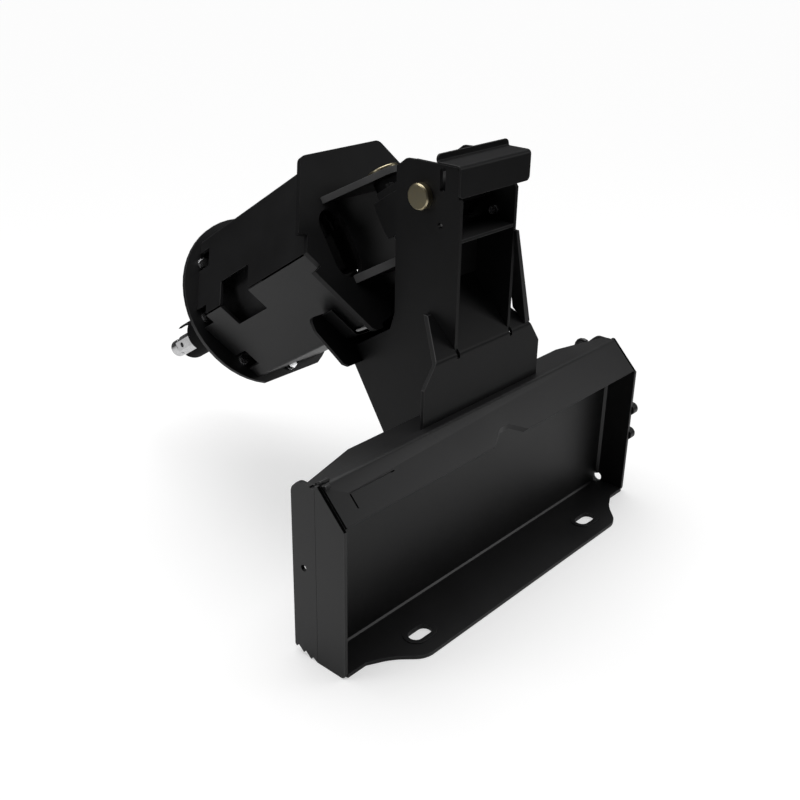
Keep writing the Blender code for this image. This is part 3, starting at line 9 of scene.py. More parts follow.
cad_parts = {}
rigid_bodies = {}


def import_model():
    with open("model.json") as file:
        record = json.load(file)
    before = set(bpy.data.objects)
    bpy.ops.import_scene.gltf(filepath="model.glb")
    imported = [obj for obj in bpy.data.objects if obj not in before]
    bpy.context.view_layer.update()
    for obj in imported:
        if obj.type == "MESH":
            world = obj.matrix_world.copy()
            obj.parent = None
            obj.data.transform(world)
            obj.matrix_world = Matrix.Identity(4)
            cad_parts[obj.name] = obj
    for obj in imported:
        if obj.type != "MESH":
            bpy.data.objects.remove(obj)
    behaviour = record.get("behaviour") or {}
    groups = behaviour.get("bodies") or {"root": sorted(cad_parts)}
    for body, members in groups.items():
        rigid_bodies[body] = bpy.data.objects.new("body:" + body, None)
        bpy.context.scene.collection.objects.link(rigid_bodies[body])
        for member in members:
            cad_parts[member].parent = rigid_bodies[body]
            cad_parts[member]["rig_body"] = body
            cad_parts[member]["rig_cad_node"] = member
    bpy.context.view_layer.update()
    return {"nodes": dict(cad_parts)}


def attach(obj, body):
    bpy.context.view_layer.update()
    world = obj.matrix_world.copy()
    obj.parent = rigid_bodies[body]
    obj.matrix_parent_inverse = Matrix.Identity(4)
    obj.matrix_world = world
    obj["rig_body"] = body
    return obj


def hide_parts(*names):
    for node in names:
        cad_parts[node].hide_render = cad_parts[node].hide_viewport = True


bl_info = {
    "name": "Earth auger drive looks",
    "version": (1, 0, 0),
    "blender": (4, 5, 0),
    "location": "View3D > Sidebar > Auger",
    "description": "Paints, plates and details the parts of an earth auger drive",
    "category": "Object",
}

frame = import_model()

# Fixed lines of the assembly, in metres
DROOP = math.radians(33.0)
ACROSS = Vector((0.0, math.sin(DROOP), math.cos(DROOP)))
SWIVEL = Vector((0.0, 0.279799, 0.62542))
FACE_START = 0.100
FACE_END = 0.115
BODY_END = 0.631
BOLTS = 8
HALF_TRAY = 0.5715
STOCK = 0.0095
SLOPE_FOOT = (0.0951, 0.6020)
SLOPE_RISE = math.tan(math.radians(46.0))
CLEAR = 0.001

# Frames that shapes are drawn in. TRAY has x across, y from the tray's open side to its back plate and z up
# from the flange's underside. DRIVE has x across, y along the output axis and z square to both.
TRAY = Matrix.Translation((0.0, -0.085, -0.223))
DRIVE = Matrix.Translation(SWIVEL) @ Matrix.Rotation(-DROOP, 4, "X")
SIDEWAYS = Matrix(((0, 0, 1, 0), (1, 0, 0, 0), (0, 1, 0, 0), (0, 0, 0, 1)))
UPRIGHT = Matrix.Rotation(math.radians(90), 4, "X")
ALONG_X = Matrix.Rotation(math.radians(90), 4, "Y")
DOWN_DRIVE = Matrix.Rotation(math.radians(-90), 4, "X")

# The tray's plates. Places are in the TRAY frame; corners, crest and loop are in the part's own.
FLANGE_SLOT = (0.066, 0.036)
FLANGE_SLOT_PLACE = (0.344, -0.018)
SLOT_BAND = 0.012
SLOT_RING = 0.003
FLANGE_CORNERS = [(x, y) for x in (-0.395, 0.395, -0.450, 0.450) for y in (-0.168, -0.113)]
FLANGE_ROUND = 0.022
TEETH = 3
TEETH_START = 0.0849
TEETH_UNDER = ((0.158, 0.018), (0.165, 0.018), (0.165, -0.020), (TEETH_START, -0.020))
FIRST_NOTCH = 0.1005
TOOTH_PITCH = 0.023
TOOTH_RISE = 0.006
TOOTH_DEPTH = 0.0085
TOOTH_RUN = 0.0055
STEP_CORNERS = [(0.072, 0.199), (0.048, 0.223)]
STEP_ROUND = 0.009
STEP_HOLE = (0.123, 0.234)
STEP_HOLE_RADIUS = 0.008
LOOP_START = 0.0735
LOOP_SWELL = 0.003
RELIEF_HOLE = (0.545, 0.083, 0.018)
RELIEF_RADIUS = 0.0135
RELIEF_LENGTH = 0.04
WING_CREST = (
    (-0.0031, 0.2189, (0.0, -0.0039, 0.0101)),
    (-0.0003, 0.2189, (0.0, 0.0, 0.0101)),
    (-0.085, 0.137, (0.0, 0.0, 0.014)),
)
WING_FOOT = [(-0.085, -0.223)]
WING_FOOT_ROUND = 0.012
SEAM_DEPTH = 0.003
SEAM = ((0.0838, 0.045), (0.0862, 0.385))
LIP_END = 0.5595
LIP_PAST = 0.60
LIP_CUT = ((-0.02, 0.30), (0.2, 0.5))
LIP_SLOPE = (0.0, 0.047, 0.422)
LIP_GROOVE = (
    ((-0.5085, -0.0015, -0.004), (-0.370, 0.0015, 0.01)),
    ((-0.5095, -0.036, -0.004), (-0.5055, 0.0015, 0.01)),
)
LUGS = ((-0.5605, -0.5345, 0.0815, 0.4545), (-0.5605, -0.5465, 0.066, 0.449))
LUG_RADIUS = 0.0055
CORNER_BEAD = ((0.0, 0.0853), (0.0, 0.0783), (0.0035, 0.0817), (0.007, 0.0853))
CORNER_BEAD_START = 0.030
CORNER_BEAD_LENGTH = 0.405
FLOOR_BEAD = ((0.0853, 0.0093), (0.0853, 0.0143), (0.0829, 0.0117), (0.0803, 0.0093))
FLOOR_BEAD_START = -0.545
FLOOR_BEAD_LENGTH = 1.075
RING_SINK = 0.0002

# The mast and its brace, in the TRAY frame, and cap, shelf and apron, in the part's own
NOSE = ((0.2860, 0.990), (0.2910, 0.999), (0.2910, 1.001), (0.263, 1.022), (0.223, 1.024), (0.223, 1.010))
MAST_INSIDE = 0.095
MAST_STOCK = 0.010
MAST_SLOT = (0.053, 0.014)
MAST_SLOT_PLACE = (0.9915, 0.1575)
CAP_CORNERS = ((-0.107, 0.010), (0.148, 0.016))
CAP_EDGES = (0.7353, 0.8223)
SHELF_REACH = (0.0, 0.017, 0.0)
SHELF_LIFT = (0.0, 0.0, 0.0304)
APRON_LIFT = (0.0, 0.0062, 0.0214)
BRACE = ((0.096, 0.850), (0.158, 0.606), (0.176, 0.606), (0.106, 0.850))
BRACE_STOCK = 0.036
BRACE_DEPTH = 0.1315
UNDER_SLOPE = (
    (0.05, 0.50), (0.05, SLOPE_FOOT[1]), SLOPE_FOOT,
    (0.24, SLOPE_FOOT[1] + (0.24 - SLOPE_FOOT[0]) * SLOPE_RISE), (0.24, 0.50),
)
UNDER_SLOPE_HALF = 0.25
SHELF_BEND = 0.09
SHELF_FOOT = 0.49
APRON_TOP = 0.47

# The drive body and its guard, in the DRIVE frame
HOSE_SLOT = (0.176, 0.081)
HOSE_SLOT_SIDE = 0.127
HOSE_SLOT_DEPTH = 0.130
HOSE_SLOT_LENGTH = 0.045
JOINT_INSIDE = 0.190
JOINT_OUTSIDE = 0.30
JOINT_HALF = 0.0022
NOTCH_LINES = (-0.0500, 0.0455)
NOTCH_WIDTH = 0.0045
NOTCH_WALLS = (0.0445, 0.0515)
NOTCH_END = FACE_END + 0.003
GUARD_RADIUS = 0.056
GUARD_BORE = 0.050
GUARD_ENDS = (0.7606, 1.0386)
WINDOW_START = 0.9666
WINDOW_SIDES = (-0.070, -0.018)
WINDOW_HALF = 0.042
WINDOW_TILT = math.radians(10.0)
BEFORE_GUARD = 0.70
PAST_GUARD = 1.10

# The wing bolts' collars, in the TRAY frame
COLLAR_DEPTH = 0.010
COLLAR_HEIGHTS = (("upper", 0.255), ("lower", 0.178))
COLLAR_RADIUS = 0.0165
COLLAR_BORE = 0.0134
COLLAR_LENGTH = 0.021

# Rounded edges: bevel steps, widths, and the sharpest angle that is left alone, in degrees
BEVEL_STEPS = 2
PAINTED_LIMIT = 32.0
PLATED_LIMIT = 30.0
SMALL_ROUND = 0.0008
SHAFT_ROUND = 0.0009
WELD_ROUND = 0.0006
LUG_ROUND = 0.0015

# The finishes' slots on a coated piece, after the coat itself: the lighter edge coat, a painted highlight,
# then the near-black painted shade
EDGE_SLOT = 1
PAINTED_SHADE_SLOT = 2

# How close a point has to be to a named corner or line
CORNER_REACH = 0.002
LINE_REACH = 0.0012

# The camera's place and turn that the tray's edges give
CAMERA_PLACE = (-1.87035, -1.38508, 1.31430)
CAMERA_RIGHT = Vector((0.66989, -0.74228, 0.01629))
CAMERA_UP = Vector((0.30560, 0.29566, 0.90509))
CAMERA_LENS = 47.85

# The lights: a wide sun above, and each softbox's place, target and size
SUN_WIDTH = math.radians(70.0)
SUN_TURN = (math.radians(-12.0), math.radians(6.0), 0.0)
FRONT_SOFTBOX = ((2.4, -2.2, 1.9), (0.0, 0.3, 0.3), (1.6, 1.2))
LEFT_SOFTBOX = ((-2.6, 1.6, 1.9), (0.0, 0.5, 0.4), (1.2, 1.2))

TRAY_PLATES = (
    "back_plate", "wing_left", "wing_right", "step_plate_left", "step_plate_right", "top_lip", "top_brace",
)
MAST_PLATES = (
    "apron", "mast_plate_left", "mast_plate_right", "mast_cap", "mast_shelf", "cradle_seat", "cradle_flange",
)
KNUCKLE_PLATES = ("knuckle_side_left", "knuckle_side_right", "knuckle_top_plate", "knuckle_bottom_plate")
BODY_PLATES = ("ear_upper", "ear_lower", "face_plate", "shell_upper", "shell_lower", "flange_disc")
ROUND_PAINTED = ("knuckle_pin_tube", "knuckle_swivel_tube", "output_housing")
CAST = ("motor_body", "motor_end_cover", "case_rear_cover", "gear_case")
GEARS = (
    "ring_gear", "sun_shaft", "planet_gear_1", "planet_gear_2", "planet_gear_3", "planet_carrier",
    "bearing_cup_rear", "bearing_cup_front", "bearing_cone_rear", "bearing_cone_front",
)
RINGS = ("main_pin_ring", "swivel_pin_ring")


class AugerFinish(bpy.types.PropertyGroup):
    """Colours and surface sizes of the finishes."""

    paint: bpy.props.FloatVectorProperty(
        name="Paint", description="Colour of the black powder coat", subtype="COLOR", size=3,
        default=(0.0065, 0.0065, 0.007), min=0.0, max=1.0)
    # Lighter than the paint: a painted highlight on the rounded plate edges
    edge: bpy.props.FloatVectorProperty(
        name="Edge", description="Colour of the plate edges, lightened as a painted highlight", subtype="COLOR", size=3,
        default=(0.035, 0.035, 0.036), min=0.0, max=1.0)
    # Lighter than the paint: a painted highlight on the ears' edges
    cut_edge_highlight: bpy.props.FloatVectorProperty(
        name="Cut edge", description="Colour of the ears' flame-cut edges, lightened as a painted highlight", subtype="COLOR", size=3,
        default=(0.085, 0.085, 0.086), min=0.0, max=1.0)
    gold: bpy.props.FloatVectorProperty(
        name="Gold", description="Colour of the yellow zinc on the pins", subtype="COLOR", size=3,
        default=(0.60, 0.52, 0.33), min=0.0, max=1.0)
    silver: bpy.props.FloatVectorProperty(
        name="Silver", description="Colour of the bright zinc on bolts and rings", subtype="COLOR", size=3,
        default=(0.90, 0.90, 0.91), min=0.0, max=1.0)
    steel: bpy.props.FloatVectorProperty(
        name="Steel", description="Colour of the machined output shaft", subtype="COLOR", size=3,
        default=(0.88, 0.88, 0.89), min=0.0, max=1.0)
    paint_roughness: bpy.props.FloatProperty(
        name="Paint roughness", description="How matt the powder coat is", subtype="FACTOR",
        default=0.42, min=0.05, max=1.0)
    peel_depth: bpy.props.FloatProperty(
        name="Orange peel", description="Depth of the coat's fine waves", unit="LENGTH",
        default=0.00006, min=0.0, max=0.001)
    edge_round: bpy.props.FloatProperty(
        name="Edge round", description="Width of the round on plate edges", unit="LENGTH",
        default=0.0011, min=0.0002, max=0.004)


class AugerStage(bpy.types.PropertyGroup):
    """Studio sizes and levels."""

    floor_size: bpy.props.FloatProperty(
        name="Floor", description="Width of the studio floor", unit="LENGTH", default=60.0, min=5.0)
    floor_drop: bpy.props.FloatProperty(
        name="Floor height", description="Height of the floor under the tray", unit="LENGTH",
        default=-0.2235)
    white: bpy.props.FloatProperty(
        name="White", description="Colour of the floor's paper", default=0.64, min=0.1, max=1.0)
    glow: bpy.props.FloatProperty(
        name="Glow", description="Level that lifts the floor to white", default=0.46, min=0.0, max=2.0)
    pool_inner: bpy.props.FloatProperty(
        name="Pool", description="Radius of the brightly lit floor", unit="LENGTH", default=1.0, min=0.1)
    pool_outer: bpy.props.FloatProperty(
        name="Pool edge", description="Radius where the lit floor ends", unit="LENGTH", default=3.6, min=0.2)
    sky: bpy.props.FloatProperty(
        name="Sky", description="Brightness of the room's even light", default=0.03, min=0.0, max=2.0)
    overhead: bpy.props.FloatProperty(
        name="Overhead", description="Strength of the soft light above", default=2.5, min=0.0)
    front: bpy.props.FloatProperty(
        name="Front softbox", description="Power of the lamp in front", subtype="POWER",
        default=14.5, min=0.0)
    side: bpy.props.FloatProperty(
        name="Side softbox", description="Power of the lamp at the left", subtype="POWER",
        default=18.0, min=0.0)


def in_tray(x=0.0, y=0.0, z=0.0):
    """A place in the tray's frame."""
    return TRAY @ Matrix.Translation((x, y, z))


def in_drive(x=0.0, y=0.0, z=0.0):
    """A place in the drive's frame."""
    return DRIVE @ Matrix.Translation((x, y, z))


def clear_selection():
    """Deselect all and leave no object active."""
    bpy.ops.object.select_all(action="DESELECT")
    bpy.context.view_layer.objects.active = None


def pick(item):
    """Make one object selected and active."""
    clear_selection()
    item.select_set(True)
    bpy.context.view_layer.objects.active = item


def choose(item, test, kind="FACE"):
    """Select the faces, edges or points of the edited mesh that pass a test."""
    bpy.ops.mesh.select_mode(type=kind)
    bpy.ops.mesh.select_all(action="DESELECT")
    bpy.ops.object.mode_set(mode="OBJECT")
    mesh = item.data
    parts = {"FACE": mesh.polygons, "EDGE": mesh.edges, "VERT": mesh.vertices}[kind]
    for part in parts:
        part.select = bool(test(part))
    bpy.ops.object.mode_set(mode="EDIT")


def settle(item, matrix):
    """Move a finished shape to its place and leave its object at the origin."""
    if bpy.context.mode != "OBJECT":
        bpy.ops.object.mode_set(mode="OBJECT")
    item.matrix_world = matrix @ item.matrix_world
    pick(item)
    bpy.ops.object.transform_apply(location=True, rotation=True, scale=True)
    return item


def prism(outline, depth, matrix):
    """A plate of any outline, drawn point by point, filled and extruded."""
    clear_selection()
    bpy.ops.mesh.primitive_plane_add(size=0.01)
    item = bpy.context.view_layer.objects.active
    bpy.ops.object.mode_set(mode="EDIT")
    bpy.ops.mesh.select_all(action="SELECT")
    bpy.ops.mesh.merge(type="CENTER")
    bpy.ops.transform.translate(value=(outline[0][0], outline[0][1], 0.0))
    for last, point in zip(outline, outline[1:]):
        step = (point[0] - last[0], point[1] - last[1], 0.0)
        bpy.ops.mesh.extrude_vertices_move(TRANSFORM_OT_translate={"value": step})
    bpy.ops.mesh.select_all(action="SELECT")
    bpy.ops.mesh.edge_face_add()
    bpy.ops.mesh.extrude_region_move(TRANSFORM_OT_translate={"value": (0.0, 0.0, depth)})
    bpy.ops.mesh.select_all(action="SELECT")
    bpy.ops.mesh.normals_make_consistent(inside=False)
    bpy.ops.object.mode_set(mode="OBJECT")
    return settle(item, matrix)


def block(low, high, matrix):
    """A block between two corners."""
    outline = [(low[0], low[1]), (high[0], low[1]), (high[0], high[1]), (low[0], high[1])]
    return prism(outline, high[2] - low[2], matrix @ Matrix.Translation((0.0, 0.0, low[2])))


def rod(radius, start, end, matrix, count=32):
    """A round bar along its own Z."""
    clear_selection()
    bpy.ops.mesh.primitive_cylinder_add(vertices=count, radius=radius, depth=end - start,
                                        location=(0.0, 0.0, (start + end) / 2))
    return settle(bpy.context.view_layer.objects.active, matrix)


def slot_outline(length, width, centre, steps=8):
    """Points round a slot that is long along its first axis."""
    radius = width / 2
    half = length / 2 - radius
    points = []
    for side, first in ((1, -90), (-1, 90)):
        for step in range(steps + 1):
            angle = math.radians(first + 180 * step / steps)
            points.append((centre[0] + side * half + radius * math.cos(angle),
                           centre[1] + radius * math.sin(angle)))
    return points


def carve(item, tool, operation="DIFFERENCE"):
    """Cut a tool out of an item, or weld it on with UNION."""
    pick(item)
    boolean = item.modifiers.new("cut", "BOOLEAN")
    boolean.operation = operation
    boolean.solver = "EXACT"
    boolean.object = tool
    bpy.ops.object.modifier_apply(modifier=boolean.name)
    bpy.data.objects.remove(tool)


def round_corners(item, axis, corners, radius):
    """Round a plate's corners. Each corner is its place on the two other axes."""
    others = [index for index in range(3) if index != axis]
    spots = item.data.vertices

    def at_corner(edge):
        first, last = (spots[index].co for index in edge.vertices)
        if abs(first[axis] - last[axis]) < 0.9 * (first - last).length:
            return False
        return any(abs(first[others[0]] - u) < CORNER_REACH and abs(first[others[1]] - v) < CORNER_REACH
                   for u, v in corners)

    pick(item)
    bpy.ops.object.mode_set(mode="EDIT")
    choose(item, at_corner, "EDGE")
    bpy.ops.mesh.bevel(offset=radius, segments=6, affect="EDGES", clamp_overlap=True)
    bpy.ops.object.mode_set(mode="OBJECT")


def move_points(item, test, offset):
    """Move the points that pass a test."""
    pick(item)
    bpy.ops.object.mode_set(mode="EDIT")
    choose(item, test, "VERT")
    bpy.ops.transform.translate(value=offset)
    bpy.ops.object.mode_set(mode="OBJECT")


def near_line(y, z):
    """A test for points near a line across the part."""
    return lambda point: abs(point.co.y - y) < LINE_REACH and abs(point.co.z - z) < LINE_REACH


def smooth(item, angle=35.0):
    """Shade smooth up to an angle and keep the flat faces flat."""
    pick(item)
    bpy.ops.object.shade_smooth_by_angle(angle=math.radians(angle))
    weighted = item.modifiers.new("even_faces", "WEIGHTED_NORMAL")
    weighted.keep_sharp = True
    weighted.weight = 100
    bpy.ops.object.modifier_apply(modifier=weighted.name)


def round_edges(item, width, limit, slot_index=-1):
    """Round an object's sharp edges. The slot is the finish that the rounds get."""
    pick(item)
    bevel = item.modifiers.new("edges", "BEVEL")
    bevel.width = width
    bevel.segments = BEVEL_STEPS
    bevel.limit_method = "ANGLE"
    bevel.angle_limit = math.radians(limit)
    bevel.miter_outer = "MITER_ARC"
    bevel.use_clamp_overlap = True
    bevel.material = slot_index
    bpy.ops.object.modifier_apply(modifier=bevel.name)


def finish_new(item, name, body):
    """Name a finished piece and let it ride on its body."""
    item.name = name
    item.data.name = name
    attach(item, body)


def skin_of(node):
    """A merged copy of a node, in whole faces in place of loose triangles."""
    source = frame["nodes"][node]
    clear_selection()
    source.select_set(True)
    bpy.context.view_layer.objects.active = source
    bpy.ops.object.duplicate()
    copy = bpy.context.view_layer.objects.active
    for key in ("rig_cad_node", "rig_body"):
        if key in copy:
            del copy[key]
    world = copy.matrix_world.copy()
    copy.parent = None
    copy.matrix_world = world
    pick(copy)
    bpy.ops.object.transform_apply(location=True, rotation=True, scale=True)
    bpy.ops.object.mode_set(mode="EDIT")
    bpy.ops.mesh.select_mode(type="VERT")
    bpy.ops.mesh.select_all(action="SELECT")
    bpy.ops.mesh.customdata_custom_splitnormals_clear()
    bpy.ops.mesh.remove_doubles(threshold=0.00002)
    bpy.ops.mesh.dissolve_limited(angle_limit=math.radians(0.4))
    bpy.ops.mesh.normals_make_consistent(inside=False)
    bpy.ops.object.mode_set(mode="OBJECT")
    return copy


def body_of(node):
    """The body a CAD node rides on."""
    return frame["nodes"][node]["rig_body"]


def shader_of(name):
    """A new material with its shader and its object coordinates."""
    made = bpy.data.materials.new(name)
    made.use_nodes = True
    nodes = made.node_tree.nodes
    nodes.clear()
    output = nodes.new("ShaderNodeOutputMaterial")
    shader = nodes.new("ShaderNodeBsdfPrincipled")
    place = nodes.new("ShaderNodeTexCoord")
    made.node_tree.links.new(shader.outputs["BSDF"], output.inputs["Surface"])
    return made, shader, place


def link(made, start, end):
    """Join two sockets of a material."""
    made.node_tree.links.new(start, end)


def noise(made, place, scale, detail=3.0, roughness=0.5, stretch=(1.0, 1.0, 1.0)):
    """A noise texture on object coordinates. Scale is in waves a metre."""
    nodes = made.node_tree.nodes
    spot = nodes.new("ShaderNodeMapping")
    spot.inputs["Scale"].default_value = stretch
    texture = nodes.new("ShaderNodeTexNoise")
    texture.inputs["Scale"].default_value = scale
    texture.inputs["Detail"].default_value = detail
    texture.inputs["Roughness"].default_value = roughness
    link(made, place.outputs["Object"], spot.inputs["Vector"])
    link(made, spot.outputs["Vector"], texture.inputs["Vector"])
    return texture


def spread(made, source, low, high, start=0.0, end=1.0):
    """Map a grey value to a range."""
    remap = made.node_tree.nodes.new("ShaderNodeMapRange")
    remap.inputs["From Min"].default_value = start
    remap.inputs["From Max"].default_value = end
    remap.inputs["To Min"].default_value = low
    remap.inputs["To Max"].default_value = high
    link(made, source, remap.inputs["Value"])
    return remap.outputs["Result"]


def mixed(made, share, first, second):
    """Mix two colours by a share."""
    mix = made.node_tree.nodes.new("ShaderNodeMix")
    mix.data_type = "RGBA"
    link(made, share, mix.inputs["Factor"])
    mix.inputs[6].default_value = (*first, 1.0)
    mix.inputs[7].default_value = (*second, 1.0)
    return mix.outputs[2]


def bumped(made, shader, height, depth):
    """Add a bump of a real depth."""
    bump = made.node_tree.nodes.new("ShaderNodeBump")
    bump.inputs["Distance"].default_value = depth
    bump.inputs["Strength"].default_value = 1.0
    link(made, height, bump.inputs["Height"])
    link(made, bump.outputs["Normal"], shader.inputs["Normal"])


def lighter(color, factor):
    """The same colour, lighter or darker."""
    return tuple(min(1.0, part * factor) for part in color)


def powder_coat(name, color, roughness, peel, shine=0.5):
    """Semi-matt powder coat with orange peel, faint dust and handling marks."""
    made, shader, place = shader_of(name)
    cloud = noise(made, place, scale=7.0, detail=4.0, roughness=0.55)
    dust = noise(made, place, scale=260.0, detail=5.0, roughness=0.7)
    share = spread(made, cloud.outputs["Fac"], 0.0, 1.0, start=0.35, end=0.7)
    link(made, mixed(made, share, lighter(color, 0.85), lighter(color, 1.35)), shader.inputs["Base Color"])
    rough = made.node_tree.nodes.new("ShaderNodeMath")
    rough.operation = "ADD"
    link(made, spread(made, cloud.outputs["Fac"], roughness - 0.05, roughness + 0.05), rough.inputs[0])
    link(made, spread(made, dust.outputs["Fac"], -0.03, 0.05), rough.inputs[1])
    link(made, rough.outputs["Value"], shader.inputs["Roughness"])
    wave = noise(made, place, scale=420.0, detail=2.0, roughness=0.45)
    bumped(made, shader, wave.outputs["Fac"], peel)
    shader.inputs["Specular IOR Level"].default_value = shine
    return made


def plated(name, color, roughness, grain, stretch=(1.0, 1.0, 1.0), tint=None):
    """Zinc plate over steel, with a soft cloud in its colour."""
    made, shader, place = shader_of(name)
    shader.inputs["Metallic"].default_value = 1.0
    cloud = noise(made, place, scale=55.0, detail=4.0, roughness=0.6)
    share = spread(made, cloud.outputs["Fac"], 0.0, 1.0, start=0.3, end=0.7)
    link(made, mixed(made, share, color, tint or lighter(color, 0.82)), shader.inputs["Base Color"])
    fine = noise(made, place, scale=grain, detail=3.0, roughness=0.6, stretch=stretch)
    rough = spread(made, fine.outputs["Fac"], roughness - 0.08, roughness + 0.1)
    link(made, rough, shader.inputs["Roughness"])
    bumped(made, shader, fine.outputs["Fac"], depth=0.00003)
    return made


def cast_iron(name, color):
    """Painted casting with a sand-grain skin."""
    made, shader, place = shader_of(name)
    cloud = noise(made, place, scale=14.0, detail=5.0, roughness=0.6)
    grain = noise(made, place, scale=700.0, detail=4.0, roughness=0.7)
    share = spread(made, cloud.outputs["Fac"], 0.0, 1.0, start=0.35, end=0.7)
    link(made, mixed(made, share, color, lighter(color, 1.8)), shader.inputs["Base Color"])
    link(made, spread(made, grain.outputs["Fac"], 0.5, 0.75), shader.inputs["Roughness"])
    bumped(made, shader, grain.outputs["Fac"], depth=0.00025)
    return made


def rubber(name, color):
    """Moulded nitrile rubber."""
    made, shader, place = shader_of(name)
    grain = noise(made, place, scale=900.0, detail=2.0, roughness=0.5)
    link(made, mixed(made, grain.outputs["Fac"], color, lighter(color, 1.5)), shader.inputs["Base Color"])
    link(made, spread(made, grain.outputs["Fac"], 0.6, 0.8), shader.inputs["Roughness"])
    bumped(made, shader, grain.outputs["Fac"], depth=0.00005)
    return made


LOOKS = {}


class AUGER_OT_finishes(bpy.types.Operator):
    """Mix the paint, plating, steel and rubber"""

    bl_idname = "auger.finishes"
    bl_label = "Mix the finishes"

    def execute(self, context):
        sizes = context.scene.auger_finish
        rough = sizes.paint_roughness
        peel = sizes.peel_depth
        # A darker edge colour for the dull coat, still a painted highlight on the edges
        dull_highlight = lighter(sizes.edge, 0.6)
        # A darker copy of the paint, for painted shade
        shade_darkened_paint = lighter(sizes.paint, 0.6)
        for look, name, color, roughness, depth, shine in (
            ("paint", "black powder coat", sizes.paint, rough, peel, 0.5),
            # Lighter than the paint: a painted highlight on rounded edges
            ("edge", "edge coat with painted highlight", sizes.edge, rough - 0.06, peel / 2, 0.5),
            ("dull_paint", "dull powder coat", sizes.paint, rough + 0.05, peel, 0.26),
            # Lighter than the dull paint: a painted highlight on rounded edges
            ("dull_edge", "dull edge coat with painted highlight", dull_highlight, rough, peel / 2, 0.5),
            # A darker copy of the paint: painted shade
            ("shade_darkened_paint", "darker flat coat for painted shade", shade_darkened_paint, rough + 0.25, peel, 0.08),
            # Near black: painted shade in joints and on the wings' slanted edges
            ("painted_shade_gap", "painted shade in joints", (0.002, 0.002, 0.002), 0.8, peel, 0.0),
            # Lighter than the paint: a painted highlight on the ears' edges
            ("cut_edge_highlight", "flame-cut edges with painted highlight", sizes.cut_edge_highlight, rough + 0.1, peel, 0.5),
        ):
            LOOKS[look] = powder_coat(name, color, roughness, depth, shine)
        LOOKS["gold"] = plated("yellow zinc", sizes.gold, 0.30, 900.0, tint=(0.55, 0.50, 0.36))
        LOOKS["silver"] = plated("bright zinc", sizes.silver, 0.24, 1200.0)
        LOOKS["steel"] = plated("machined steel", sizes.steel, 0.26, 500.0, (1.0, 6.0, 6.0))
        LOOKS["gear"] = plated("oiled gear steel", (0.33, 0.33, 0.34), 0.3, 800.0)
        LOOKS["cast"] = cast_iron("painted casting", (0.012, 0.012, 0.013))
        LOOKS["rubber"] = rubber("nitrile rubber", (0.012, 0.012, 0.012))
        return {"FINISHED"}


def wear(item, *looks):
    """Give a piece its finishes, in order of their slots."""
    item.data.materials.clear()
    for look in looks:
        item.data.materials.append(LOOKS[look])


def coat(plate, node, paint="paint", edge="edge", shade_test=None):
    """Round a painted piece's edges and let it take its node's place. Faces that pass the given test get the
    near-black painted shade.
    """
    wear(plate, paint, edge, "painted_shade_gap")
    round_edges(plate, bpy.context.scene.auger_finish.edge_round, PAINTED_LIMIT, EDGE_SLOT)
    for face in plate.data.polygons:
        if shade_test and shade_test(face):
            face.material_index = PAINTED_SHADE_SLOT
    smooth(plate)
    finish_new(plate, node + "_coated", body_of(node))
    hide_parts(node)


def dress(node, ending, looks, width, limit=PLATED_LIMIT, slot_index=-1):
    """Finish a node's own shape, with rounded edges, and let it take its node's place."""
    item = skin_of(node)
    wear(item, *looks)
    round_edges(item, width, limit, slot_index)
    smooth(item, 32.0)
    finish_new(item, node + ending, body_of(node))
    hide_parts(node)


def add_piece(item, name, body, look, width=SMALL_ROUND):
    """Finish a piece that only the dressed part has."""
    wear(item, look, "edge" if look == "paint" else look)
    round_edges(item, width, PAINTED_LIMIT, EDGE_SLOT)
    smooth(item)
    finish_new(item, name, body)


def ring_plate(length, width, band, stock, matrix):
    """A flat ring of plate round a slot."""
    item = prism(slot_outline(length + 2 * band, width + 2 * band, (0.0, 0.0)), stock, Matrix())
    hole = prism(slot_outline(length, width, (0.0, 0.0)), 3 * stock, Matrix.Translation((0.0, 0.0, -stock)))
    carve(item, hole)
    return settle(item, matrix)


def tooth_outline():
    """What is cut away under a step plate, which leaves its teeth."""
    teeth = [(TEETH_START, 0.0)]
    for tooth in range(TEETH):
        notch = FIRST_NOTCH + tooth * TOOTH_PITCH
        rise = tooth * TOOTH_RISE
        teeth += [(notch, rise + TOOTH_DEPTH), (notch + TOOTH_RUN, rise)]
    return teeth + [*TEETH_UNDER]


def shape_step_plate(plate, side):
    """Cut a step plate's teeth and hole, and round its top."""
    start = (HALF_TRAY - STOCK if side > 0 else -HALF_TRAY) - STOCK
    carve(plate, prism(tooth_outline(), 3 * STOCK, in_tray(start) @ SIDEWAYS))
    round_corners(plate, 0, STEP_CORNERS, STEP_ROUND)
    carve(plate, rod(STEP_HOLE_RADIUS, 0.0, 3 * STOCK, in_tray(start, *STEP_HOLE) @ ALONG_X, 24))


def shape_wing(plate):
    """Raise a wing's crest and round its foot."""
    for y, z, offset in WING_CREST:
        move_points(plate, near_line(y, z), offset)
    round_corners(plate, 0, WING_FOOT, WING_FOOT_ROUND)


def shape_lip(plate):
    """Shorten the lip at both ends and cut its groove."""
    for hand in (1, -1):
        ends = sorted((hand * LIP_END, hand * LIP_PAST))
        carve(plate, block((ends[0], *LIP_CUT[0]), (ends[1], *LIP_CUT[1]), TRAY))
    slope = in_tray(*LIP_SLOPE) @ Matrix.Rotation(math.radians(45), 4, "X")
    for low, high in LIP_GROOVE:
        carve(plate, block(low, high, slope))


def shape_flange(plate):
    """Widen the flange's locking slots and round its corners."""
    for hand in (1, -1):
        outline = slot_outline(*FLANGE_SLOT, (hand * FLANGE_SLOT_PLACE[0], FLANGE_SLOT_PLACE[1]))
        carve(plate, prism(outline, 3 * STOCK, in_tray(z=-STOCK)))
    round_corners(plate, 2, FLANGE_CORNERS, FLANGE_ROUND)


